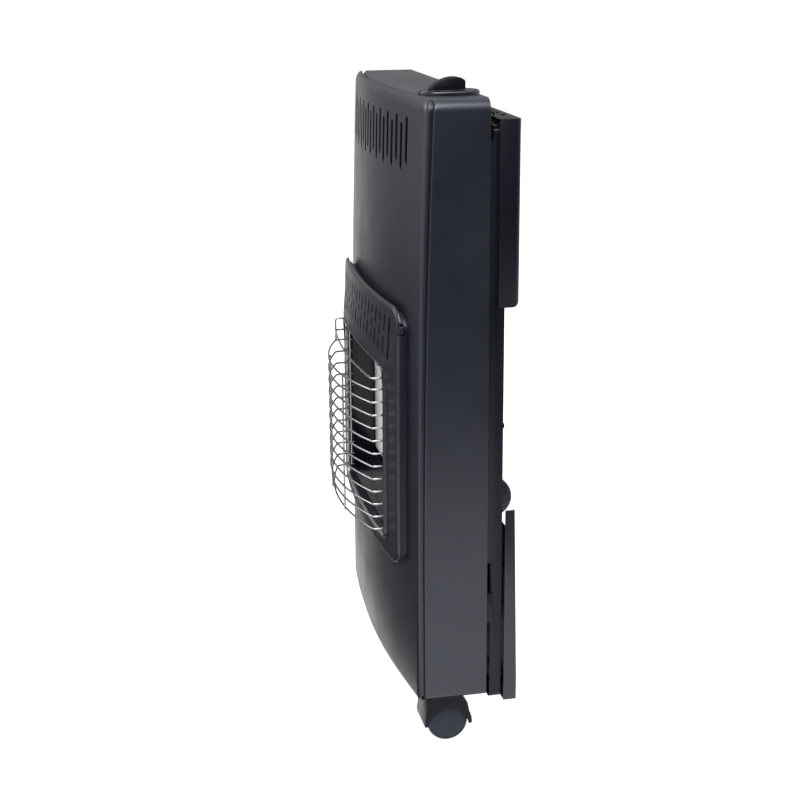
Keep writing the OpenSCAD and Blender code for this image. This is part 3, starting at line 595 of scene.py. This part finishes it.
# Outlines, as lists of 2-D points
def arc_points(centre, radius, start, end, steps):
    """Points on an arc, from one angle to another in degrees."""
    turns = [math.radians(start + (end - start) * i / steps) for i in range(steps + 1)]
    return [(centre[0] + radius * math.cos(turn), centre[1] + radius * math.sin(turn)) for turn in turns]


def quarter_turns(steps):
    """The angles of a quarter turn at even steps, in radians."""
    return [math.radians(90 * i / steps) for i in range(steps + 1)]


def between(first, second, steps):
    """The points between two others, which are left out, at even steps."""
    (x, z), (end_x, end_z) = first, second
    return [(x + (end_x - x) * i / steps, z + (end_z - z) * i / steps) for i in range(1, steps)]


def slot_outline(x, low, high, width):
    """An upright slot with round ends."""
    radius = width / 2
    upper = arc_points((x, high - radius), radius, 0, 180, steps=8)
    lower = arc_points((x, low + radius), radius, 180, 360, steps=8)
    return upper + lower


def rounded_ring(half_width, low, high, radii, inset, across, along):
    """A rounded rectangle in x and z, as a loop of points: right side, top, left side, bottom.
    radii are those of the lower and the upper corners. Each side runs from mid-corner to mid-corner.
    across is the number of steps over the top and the bottom, and along is that of the two sides."""
    lower = max(radii[0] - inset, SMALLEST_RADIUS)
    upper = max(radii[1] - inset, SMALLEST_RADIUS)
    lower_x = half_width - inset - lower
    upper_x = half_width - inset - upper
    lower_z = low + inset + lower
    upper_z = high - inset - upper
    steps = 2 * HALF_CORNER_STEPS
    corners = [arc_points((lower_x, lower_z), lower, -90, 0, steps),
               arc_points((upper_x, upper_z), upper, 0, 90, steps),
               arc_points((-upper_x, upper_z), upper, 90, 180, steps),
               arc_points((-lower_x, lower_z), lower, 180, 270, steps)]
    loop = []
    for i, side_steps in enumerate((along, across, along, across)):
        first = corners[i]
        second = corners[(i + 1) % len(corners)]
        loop += first[HALF_CORNER_STEPS:]
        loop += between(first[-1], second[0], side_steps)
        loop += second[:HALF_CORNER_STEPS]
    return loop


def patch_inside(loop, across, along):
    """Fills a rounded ring with a grid, as rows of points from the right side to the left side.
    Each point blends those of the four sides, less what the corners would count twice."""
    tall = along + 2 * HALF_CORNER_STEPS
    wide = across + 2 * HALF_CORNER_STEPS
    right = loop[:tall + 1]
    top = loop[tall:tall + wide + 1]
    left = loop[tall + wide:2 * tall + wide + 1][::-1]
    bottom = (loop[2 * tall + wide:] + loop[:1])[::-1]
    rows = []
    for j in range(tall + 1):
        up = j / tall
        row = []
        for i in range(wide + 1):
            over = i / wide
            row.append(tuple(
                (1 - over) * right[j][axis] + over * left[j][axis]
                + (1 - up) * bottom[i][axis] + up * top[i][axis]
                - (1 - over) * (1 - up) * right[0][axis] - over * (1 - up) * left[0][axis]
                - (1 - over) * up * right[-1][axis] - over * up * left[-1][axis] for axis in (0, 1)))
        rows.append(row)
    return rows


def dished_sheet(name, ring_at, profile, material, across, along):
    """A sheet with a turned edge and a face that is filled with a grid.
    profile is a list of (inset, depth) pairs from the back edge to the face, where depth is y."""
    points, faces = skin([[(x, depth, z) for x, z in ring_at(inset)] for inset, depth in profile])
    inset, depth = profile[-1]
    rows = [[(x, depth, z) for x, z in row] for row in patch_inside(ring_at(inset), across, along)]
    grid_points, grid_faces = skin(rows, closed=False)
    faces += [tuple(len(points) + index for index in face) for face in grid_faces]
    return link_mesh(name, points + grid_points, faces, material)


# Front panel
PANEL_ROWS = 64
PANEL_COLUMNS = 48
SLOT_COUNT = 19
SLOT_PITCH = 17.1
SLOT_TOP = TOP - 23
SLOT_LENGTH = 54
SLOT_STAGGER = 8
SLOT_WIDTH = 8
HOLE_SIDE_MARGIN = 20
HOLE_END_MARGIN = 15
PANEL_CUT = (-5, 10)


def panel_ring(inset):
    """The front panel's outline, less an inset."""
    return rounded_ring(HALF, BOTTOM, TOP, (PANEL_FOOT_RADIUS, CORNER_RADIUS), inset,
                        PANEL_COLUMNS, PANEL_ROWS)


def cut_slots(panel):
    """Cuts the staggered row of upright slots near the top."""
    cutters = []
    for i in range(SLOT_COUNT):
        x = (i - (SLOT_COUNT - 1) / 2) * SLOT_PITCH
        high = SLOT_TOP - SLOT_STAGGER * (i % 2)
        outline = slot_outline(x, high - SLOT_LENGTH, high, SLOT_WIDTH)
        cutters.append(prism("slot_cutter", outline, *PANEL_CUT, "charcoal_powder_coat"))
    combine(panel, join(cutters, "slot_cutters"), "DIFFERENCE")


def cut_burner_hole(panel):
    """Cuts the hole behind the burner surround."""
    outline = rounded_ring(surround_high.x - HOLE_SIDE_MARGIN, surround_low.z + HOLE_END_MARGIN,
                           surround_high.z - HOLE_END_MARGIN, (OPENING_RADIUS, OPENING_RADIUS), 0, 2, 2)
    hole = prism("hole_cutter", outline, *PANEL_CUT, "charcoal_powder_coat")
    combine(panel, hole, "DIFFERENCE")


def make_front_panel():
    """The bowed sheet with its turned edge, made flat, cut, and then bent to the face."""
    profile = [(PANEL_LIP, PANEL_DEPTH + PANEL_FLANGE), (PANEL_LIP, PANEL_DEPTH + 2),
               (PANEL_LIP * 0.5, PANEL_DEPTH + 1.1), (PANEL_LIP * 0.08, PANEL_DEPTH + 0.5)]
    for turn in quarter_turns(8):
        profile.append((PANEL_BEND * (1 - math.cos(turn)), PANEL_DEPTH * (1 - math.sin(turn))))
    panel = dished_sheet("front_panel_sheet", panel_ring, profile, "charcoal_powder_coat",
                         PANEL_COLUMNS, PANEL_ROWS)
    thicken(panel, SHEET)
    cut_slots(panel)
    cut_burner_hole(panel)
    bend_mesh(panel, lambda point: Vector((point.x, point.y + face_y(point.x, point.z), point.z)))
    soften(panel, sharp_angle=32)
    finish_piece(panel, "charcoal_powder_coat", "cabinet", "front_panel")


# Cabinet shell: one sheet over both sides and the top
SHELL_ROLL = 4
SHELL_FOOT_RADIUS = 4.5
SHELL_SIDE_STEPS = 40
SHELL_TOP_STEPS = 48
SHELL_STATIONS = (0.12, 0.35, 0.6, 0.85, 0.97, 1.0)
SHELL_WELL_LOW = -8
REAR_EASE = 0.2


def arch_points(inset):
    """The shell's outline from its right foot over the top to its left foot, less an inset."""
    side = HALF - inset
    top = TOP - inset
    radius = CORNER_RADIUS - inset
    foot = BOTTOM + SHELL_FOOT_RADIUS
    right = arc_points((side - SHELL_FOOT_RADIUS, foot), SHELL_FOOT_RADIUS, -90, 0, steps=5)
    right += between((side, foot), (side, top - radius), SHELL_SIDE_STEPS)
    right_corner = arc_points((side - radius, top - radius), radius, 0, 90, steps=10)
    flat = between((side - radius, top), (radius - side, top), SHELL_TOP_STEPS)
    left_corner = arc_points((radius - side, top - radius), radius, 90, 180, steps=10)
    left = [(-side, z) for _, z in reversed(right)]
    return right + right_corner + flat + left_corner + left


def well_cutter(name, low, material):
    """A round plug that cuts the well for the knob's skirt. low is counted from the cabinet's top."""
    return lathe(name, [(WELL_RADIUS, low), (WELL_RADIUS, WELL_TOP)], material, WELL_SEGMENTS,
                 Matrix.Translation(at(KNOB_X, KNOB_Y, TOP)))


def make_shell():
    """The shell's front edge follows the panel's face, is rolled and turned in, and has the knob's well."""
    outline = arch_points(0)
    edge = [face_y(x, z) + PANEL_DEPTH + GROOVE for x, z in outline]
    profile = [(SHELL_ROLL + 7, 1.2), (SHELL_ROLL + 3, 0.2), (SHELL_ROLL, 0)]
    for turn in quarter_turns(5)[1:]:
        profile.append((SHELL_ROLL * (1 - math.sin(turn)), SHELL_ROLL * (1 - math.cos(turn))))
    rings = [[(x, y + back, z) for (x, z), y in zip(arch_points(inset), edge)] for inset, back in profile]
    for share in SHELL_STATIONS:
        ring = []
        for (x, z), y in zip(outline, edge):
            rolled = y + SHELL_ROLL
            ring.append((x, rolled + (REAR - REAR_EASE - rolled) * share, z))
        rings.append(ring)
    rings.append([(x, REAR, z) for x, z in arch_points(2 * REAR_EASE)])
    shell = loft("cabinet_shell_sheet", rings, "charcoal_powder_coat", closed=False, caps=False)
    thicken(shell, SHEET)
    combine(shell, well_cutter("shell_well", SHELL_WELL_LOW, "charcoal_powder_coat"), "DIFFERENCE")
    soften(shell, sharp_angle=32)
    finish_piece(shell, "charcoal_powder_coat", "cabinet", "cabinet_shell")


# Burner surround: a raised plate with a slotted band above the opening
SURROUND_PROUD = 12
SURROUND_RADIUS = 25
SURROUND_FILLET = 4
SURROUND_ACROSS = 72
SURROUND_ALONG = 60
LIP_PROUD = 16
LIP_START = -SURROUND_PROUD - 0.1
FACE_END = 3 - SURROUND_PROUD
BAND_LEAN = 4.5
BAND_START = 425
BAND_LOW = 467
BAND_HIGH = 532
BAND_FLAT_HALF = 134
BAND_HALF = 166
LIP_SHARE = 0.4
LOUVRE_FOOT = 474
LOUVRE_TOP = 526
LOUVRE_ARCH = 9
LOUVRE_PITCH = 18
LOUVRE_LAST = 8
LOUVRE_GAP = 4
LOUVRE_WIDTH = 5
LOUVRE_CUT = (-40, 20)
FLANK_REACH = 5
FLANK_HOLE_Y = (-11.2, -1)
FLANK_HOLE_Z = (509.5, 523.5)


def smooth_step(value, low, high):
    """Runs smoothly from 0 at low to 1 at high."""
    share = min(max((value - low) / (high - low), 0), 1)
    return share * share * (3 - 2 * share)


def band_push(x, z):
    """How far the slotted band leans out at a place on the face."""
    across = 1 - smooth_step(abs(x), BAND_FLAT_HALF, BAND_HALF)
    if z >= BAND_LOW:
        return BAND_LEAN * across * min(max((BAND_HIGH - z) / (BAND_HIGH - BAND_LOW), 0), 1)
    return BAND_LEAN * across * smooth_step(z, BAND_START, BAND_LOW)


def surround_ring(inset, drop=0):
    """The surround's outline, less an inset and a drop of its top."""
    return rounded_ring(surround_high.x, surround_low.z, surround_high.z - drop,
                        (SURROUND_RADIUS, SURROUND_RADIUS), inset, SURROUND_ACROSS, SURROUND_ALONG)


def opening_ring(grow):
    """The opening's outline, made larger all round."""
    return rounded_ring(OPENING_HALF, OPENING_LOW, OPENING_HIGH, (OPENING_RADIUS, OPENING_RADIUS),
                        -grow, SURROUND_ACROSS, SURROUND_ALONG)


def surround_rings():
    """The surround's outlines with their depths, from its rear edge over the face and into the opening."""
    rings = [(surround_ring(3, 6), 0), (surround_ring(3, 6), -2.8), (surround_ring(0.8, 6), -3.4),
             (surround_ring(0.2, 6), -4), (surround_ring(0.2, 5.6), -7.4)]
    for turn in quarter_turns(6):
        inset = SURROUND_FILLET * (1 - math.cos(turn))
        rings.append((surround_ring(inset), -SURROUND_PROUD + SURROUND_FILLET * (1 - math.sin(turn))))
    edge = surround_ring(SURROUND_FILLET)
    foot = opening_ring(4)
    for share in (i / 12 for i in range(1, 13)):
        face = []
        for (x, z), (foot_x, foot_z) in zip(edge, foot):
            face.append((x + (foot_x - x) * share, z + (foot_z - z) * share))
        rings.append((face, -SURROUND_PROUD))
    rings += [(opening_ring(3), -SURROUND_PROUD - 0.2), (opening_ring(2.3), -SURROUND_PROUD - 1),
              (opening_ring(2), -LIP_PROUD + 1), (opening_ring(1.6), -LIP_PROUD + 0.2),
              (opening_ring(1), -LIP_PROUD), (opening_ring(0.3), -LIP_PROUD + 0.3),
              (opening_ring(0), -LIP_PROUD + 1.2), (opening_ring(0), -4), (opening_ring(0), 2)]
    return rings


def louvre_slots():
    """Slots as (column, low, high): one in each end column, and pairs and threes in between."""
    slots = []
    high = LOUVRE_TOP
    for column in range(-LOUVRE_LAST, LOUVRE_LAST + 1):
        low = LOUVRE_FOOT + LOUVRE_ARCH * (1 - (column / LOUVRE_LAST) ** 2)
        if abs(column) == LOUVRE_LAST:
            slots.append((column, low, high))
        elif column % 2:
            middle = (low + high) / 2
            slots += [(column, low, middle - LOUVRE_GAP / 2), (column, middle + LOUVRE_GAP / 2, high)]
        else:
            step = (high - low + LOUVRE_GAP) / 3
            slots += [(column, low + row * step, low + (row + 1) * step - LOUVRE_GAP) for row in range(3)]
    return slots


def cut_surround(plate):
    """Cuts the louvres and the hole in each flank."""
    cutters = []
    for column, low, high in louvre_slots():
        outline = slot_outline(LOUVRE_PITCH * column, low, high, LOUVRE_WIDTH)
        cutters.append(prism("louvre_cutter", outline, *LOUVRE_CUT, "charcoal_powder_coat"))
    for flank in (-surround_high.x, surround_high.x):
        low = (flank - FLANK_REACH, FLANK_HOLE_Y[0], FLANK_HOLE_Z[0])
        high = (flank + FLANK_REACH, FLANK_HOLE_Y[1], FLANK_HOLE_Z[1])
        cutters.append(block("flank_cutter", low, high, "charcoal_powder_coat"))
    combine(plate, join(cutters, "louvre_cutters"), "DIFFERENCE")


def place_surround(point):
    """Puts a point of the flat plate on the bowed face. The slotted band leans out, and the lip less so.
    What lies behind the plate's face doesn't lean."""
    push = band_push(point.x, point.z)
    if point.y < LIP_START:
        push *= LIP_SHARE
    if point.y > FACE_END:
        push = 0
    return Vector((point.x, point.y - push + face_y(point.x, point.z), point.z))


def make_surround():
    rings = [[(x, depth, z) for x, z in ring] for ring, depth in surround_rings()]
    plate = loft("burner_surround_plate", rings, "charcoal_powder_coat", caps=False)
    thicken(plate, SHEET)
    cut_surround(plate)
    bend_mesh(plate, place_surround)
    soften(plate, sharp_angle=32)
    finish_piece(plate, "charcoal_powder_coat", "cabinet", "burner_surround")


def make_opening_trim():
    """A bright folded edge that lines the front of the opening."""
    rings = []
    for grow, behind in ((-0.7, 5), (-0.7, 1.6), (-0.4, 1.2), (-0.1, 1.5), (-0.1, 5)):
        depth = behind - LIP_PROUD
        rings.append([(x, depth + face_y(x, z), z) for x, z in opening_ring(grow)])
    trim = loft("opening_trim", rings, "bare_steel", caps=False)
    soften(trim, sharp_angle=40)
    finish_piece(trim, "bare_steel", "cabinet")


# Wire guard
WIRE_RADIUS = 1.25
GUARD_HALF = 124
GUARD_END = -59.25
GUARD_BEND = -81.15
GUARD_BULGE = 26.5
LOWEST_BULGE = GUARD_BULGE - 5
SECOND_BULGE = GUARD_BULGE - 2
TOP_BULGE = 8
GUARD_LOW = 257.2
GUARD_PITCH = 16.06
GUARD_TOP_STEP = 13.8
GUARD_WIRES = 13
GUARD_UPRIGHT_X = 45
UPRIGHT_OVERHANG = 1
SIDE_BAR_Y = GUARD_END - 3
GUARD_BEND_RADIUS = 7
GUARD_BEND_MARGIN = 6
ARC_STEPS = 40
WELD_DEPTH = 0.3
RAIL_Y = -72
RAIL_Z = 463.2
RAIL_RADIUS = WIRE_RADIUS * 0.8
CORNER_WIRE_RADIUS = 4


def eased_path(points, radius):
    """Rounds each corner of a path with a short curve, and leaves the slight bends as they are."""
    slight_bend = 0.3
    path = [points[0]]
    for before, corner, after in zip(points, points[1:], points[2:]):
        if (corner - before).angle(after - corner) < slight_bend:
            path.append(corner)
            continue
        first = corner + (before - corner).normalized() * min(radius, (before - corner).length / 2)
        last = corner + (after - corner).normalized() * min(radius, (after - corner).length / 2)
        for share in (i / BEND_STEPS for i in range(BEND_STEPS + 1)):
            rest = 1 - share
            path.append(rest ** 2 * first + 2 * share * rest * corner + share ** 2 * last)
    path.append(points[-1])
    return path


def guard_bulge(wire):
    """How far a cross wire bows out: less for the two lowest, and least for the top one."""
    return {0: LOWEST_BULGE, 1: SECOND_BULGE, GUARD_WIRES - 1: TOP_BULGE}.get(wire, GUARD_BULGE)


def guard_curve(x, bulge):
    """The y at x of a cross wire, which runs on an arc between its two bends."""
    radius = (GUARD_HALF ** 2 + bulge ** 2) / (2 * bulge)
    return GUARD_BEND - bulge + radius - math.sqrt(radius ** 2 - x * x)


def wire_height(wire):
    """The z of a cross wire. The last step, to the top one, is shorter."""
    top_drop = GUARD_PITCH - GUARD_TOP_STEP if wire == GUARD_WIRES - 1 else 0
    return GUARD_LOW + wire * GUARD_PITCH - top_drop


def cross_wire(wire):
    """A cross wire's path, from its left end round both bends to its right end."""
    z = wire_height(wire)
    path = [at(-GUARD_HALF, GUARD_END, z)]
    for i in range(ARC_STEPS + 1):
        x = GUARD_HALF * math.sin(math.radians(180 * i / ARC_STEPS - 90))
        if not GUARD_HALF - GUARD_BEND_MARGIN <= abs(x) < GUARD_HALF:
            path.append(at(x, guard_curve(x, guard_bulge(wire)), z))
    path.append(at(GUARD_HALF, GUARD_END, z))
    return eased_path(path, GUARD_BEND_RADIUS)


def make_guard():
    """Bowed cross wires with two uprights, a bar at each side, a top rail and the far top corner."""
    top = wire_height(GUARD_WIRES - 1)
    below_top = wire_height(GUARD_WIRES - 2)
    wires = []

    def add_wire(name, path, radius=WIRE_RADIUS):
        wires.append(tube(name, path, radius, "guard_chrome"))

    for wire in range(GUARD_WIRES):
        add_wire("guard_wire", cross_wire(wire))
    for x in (-GUARD_UPRIGHT_X, GUARD_UPRIGHT_X):
        y = guard_curve(x, GUARD_BULGE) + 2 * WIRE_RADIUS - WELD_DEPTH
        add_wire("guard_upright", [at(x, y, GUARD_LOW - UPRIGHT_OVERHANG),
                                   at(x, y, below_top + UPRIGHT_OVERHANG)])
    for x in (-GUARD_HALF, GUARD_HALF):
        add_wire("guard_side_bar", [at(x, SIDE_BAR_Y, GUARD_LOW), at(x, SIDE_BAR_Y, top)])
    add_wire("guard_rail", [at(x, RAIL_Y, RAIL_Z) for x in (-GUARD_HALF, 0, GUARD_HALF)], RAIL_RADIUS)
    corner = [at(-GUARD_HALF, GUARD_END, RAIL_Z), at(-GUARD_HALF, GUARD_BEND, RAIL_Z),
              at(-GUARD_HALF, GUARD_BEND, below_top)]
    add_wire("guard_corner", eased_path(corner, CORNER_WIRE_RADIUS))
    finish_piece(join(wires, "wire_guard_wires"), "guard_chrome", "cabinet", "wire_guard")


# Control knob and its bezel
BEZEL_BEHIND = 2.5
BEZEL_REACH = 12
BEZEL_RADIUS = 23
BEZEL_WELL_LOW = -2
KNOB_RADIUS = 21
KNOB_LIFT = 4.5
KNOB_FOOT = -2.5
GRIP_ROUND_FROM = 3
PLUG_RADIUS = KNOB_RADIUS - 0.1
PLUG_TOP = 30


def make_bezel():
    """An oval rim with a round well, in which the knob's skirt is sunk."""
    outline = arc_points((0, BEZEL_REACH), BEZEL_RADIUS, 0, 180, steps=24)
    outline += arc_points((0, -BEZEL_REACH), BEZEL_RADIUS, 180, 360, steps=24)
    rings = []
    for inset, height in [(0, 0.1), (0, 2.4), (0.25, 3.2), (0.9, 4.1), (1.8, 4.5), (2.6, 4.4), (3.4, 3.8)]:
        scale = (BEZEL_RADIUS - inset) / BEZEL_RADIUS
        ring = []
        for x, y in outline:
            middle = BEZEL_REACH if y > 0 else -BEZEL_REACH
            behind = BEZEL_BEHIND + middle + (y - middle) * scale
            ring.append(at(KNOB_X + x * scale, KNOB_Y + behind, TOP + height))
        rings.append(ring)
    bezel = loft("knob_bezel_ring", rings, "bezel_plastic")
    combine(bezel, well_cutter("bezel_well", BEZEL_WELL_LOW, "bezel_plastic"), "DIFFERENCE")
    soften(bezel, sharp_angle=30)
    finish_piece(bezel, "bezel_plastic", "cabinet", "knob_bezel")


def make_knob():
    """A round skirt with a fin-shaped grip: low at the front, highest behind the middle, steep behind."""
    base = TOP + KNOB_LIFT
    place = Matrix.Translation(at(KNOB_X, KNOB_Y, base))
    profile = [(8, 0), (20.6, 0), (KNOB_RADIUS, 0.4), (KNOB_RADIUS, 2.8), (20.4, 3.6), (14, 4.1), (0, 4.3)]
    skirt = lathe("control_knob_body", [(radius, KNOB_FOOT + height) for radius, height in profile],
                  "black_plastic", WELL_SEGMENTS, place)
    fin = [(-KNOB_RADIUS, KNOB_FOOT + 1), (-KNOB_RADIUS, 1.8), (-18.5, 4.4), (-13, 8.4), (-7, 11.6),
           (-1, 13.6), (5, 14.5), (11, 14.3), (16, 13.1), (19.4, 10.9), (20.8, 8), (KNOB_RADIUS, 4),
           (KNOB_RADIUS, KNOB_FOOT + 1)]
    rings = []
    for x, inset in [(-6.5, 1.2), (-6.1, 0.4), (-5.3, 0), (5.3, 0), (6.1, 0.4), (6.5, 1.2)]:
        scale = (KNOB_RADIUS - inset) / KNOB_RADIUS
        ring = []
        for y, z in fin:
            drop = inset if z > GRIP_ROUND_FROM else 0
            ring.append(at(KNOB_X + x, KNOB_Y + y * scale, base + z - drop))
        rings.append(ring)
    grip = loft("grip", rings, "black_plastic")
    round_plug = lathe("round_plug", [(PLUG_RADIUS, KNOB_FOOT), (PLUG_RADIUS, PLUG_TOP)],
                       "black_plastic", WELL_SEGMENTS, place)
    combine(grip, round_plug, "INTERSECT")
    combine(skirt, grip, "UNION")
    soften(skirt, sharp_angle=30)
    finish_piece(skirt, "black_plastic", "knob", "control_knob")


# Caster wheels
PLACES = ("front_left", "front_right", "rear_left", "rear_right")
WHEEL_RADIUS = 25
WHEEL_BORE = 3.1
WHEEL_SEGMENTS = 64


def make_wheel(place, side):
    """A wheel with a rounded tread, a flat inner face and a domed outer face with a shallow ring."""
    node = f"{place}_caster_{side}_wheel"
    low, high = node_box(node)
    inner = (low.x - high.x) / 2
    outer = (high.x - low.x) / 2
    profile = [(WHEEL_BORE, inner), (19, inner), (20, inner + 0.4), (21.5, inner + 0.6), (23.6, inner + 1.4),
               (24.7, inner + 2.8), (WHEEL_RADIUS, inner + 4.6), (WHEEL_RADIUS, outer - 5.6),
               (24.7, outer - 3.9), (23.8, outer - 2.6), (22.3, outer - 1.9), (21.6, outer - 2.3),
               (21.0, outer - 2.2), (17.5, outer - 1.1), (12, outer - 0.45), (6, outer - 0.1), (0, outer)]
    faces_left = place.endswith("left") == (side == "outer")
    facing = -1 if faces_left else 1
    turn = Matrix.Rotation(math.radians(90 * facing), 4, "Y")
    wheel = lathe(node + "_tyre", profile, "wheel_plastic", WHEEL_SEGMENTS,
                  Matrix.Translation((low + high) / 2) @ turn, sharp_angle=40)
    finish_piece(wheel, "wheel_plastic", f"{place}_{side}_wheel", node)


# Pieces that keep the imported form, with their edges rounded a little
FLAT_ANGLE = 1


def refine(node, body, width):
    """Replaces a node by a copy of it, with its flat faces merged and its edges rounded."""
    source = nodes[node]
    piece = bpy.data.objects.new(node + "_rounded", source.data.copy())
    piece.matrix_world = source.matrix_world
    link(piece)
    edit = bmesh.new()
    edit.from_mesh(piece.data)
    bmesh.ops.remove_doubles(edit, verts=edit.verts, dist=MERGE_DISTANCE)
    bmesh.ops.dissolve_limit(edit, angle_limit=math.radians(FLAT_ANGLE), verts=edit.verts, edges=edit.edges)
    edit.to_mesh(piece.data)
    edit.free()
    round_edges(piece, width)
    soften(piece, sharp_angle=30)
    finish_piece(piece, slots_of_nodes[node], body, node)


make_camera()
make_studio()
make_front_panel()
make_shell()
make_surround()
make_opening_trim()
make_guard()
make_bezel()
make_knob()
for place_name in PLACES:
    for wheel_side in ("outer", "inner"):
        make_wheel(place_name, wheel_side)
    refine(f"{place_name}_caster_hood", f"{place_name}_swivel", 0.8)
refine("rear_hood", "hood", 0.35)
refine("base_tray", "tray", 0.35)
refine("back_frame", "cabinet", 0.3)
refine("frame_cross_bars", "cabinet", 0.3)
refine("ceramic_plaques", "cabinet", 0.5)
refine("tray_hinge_brackets", "cabinet", 0.4)
refine("caster_crossbar", "tray", 0.4)

bpy.context.scene.view_settings.view_transform = "Standard"
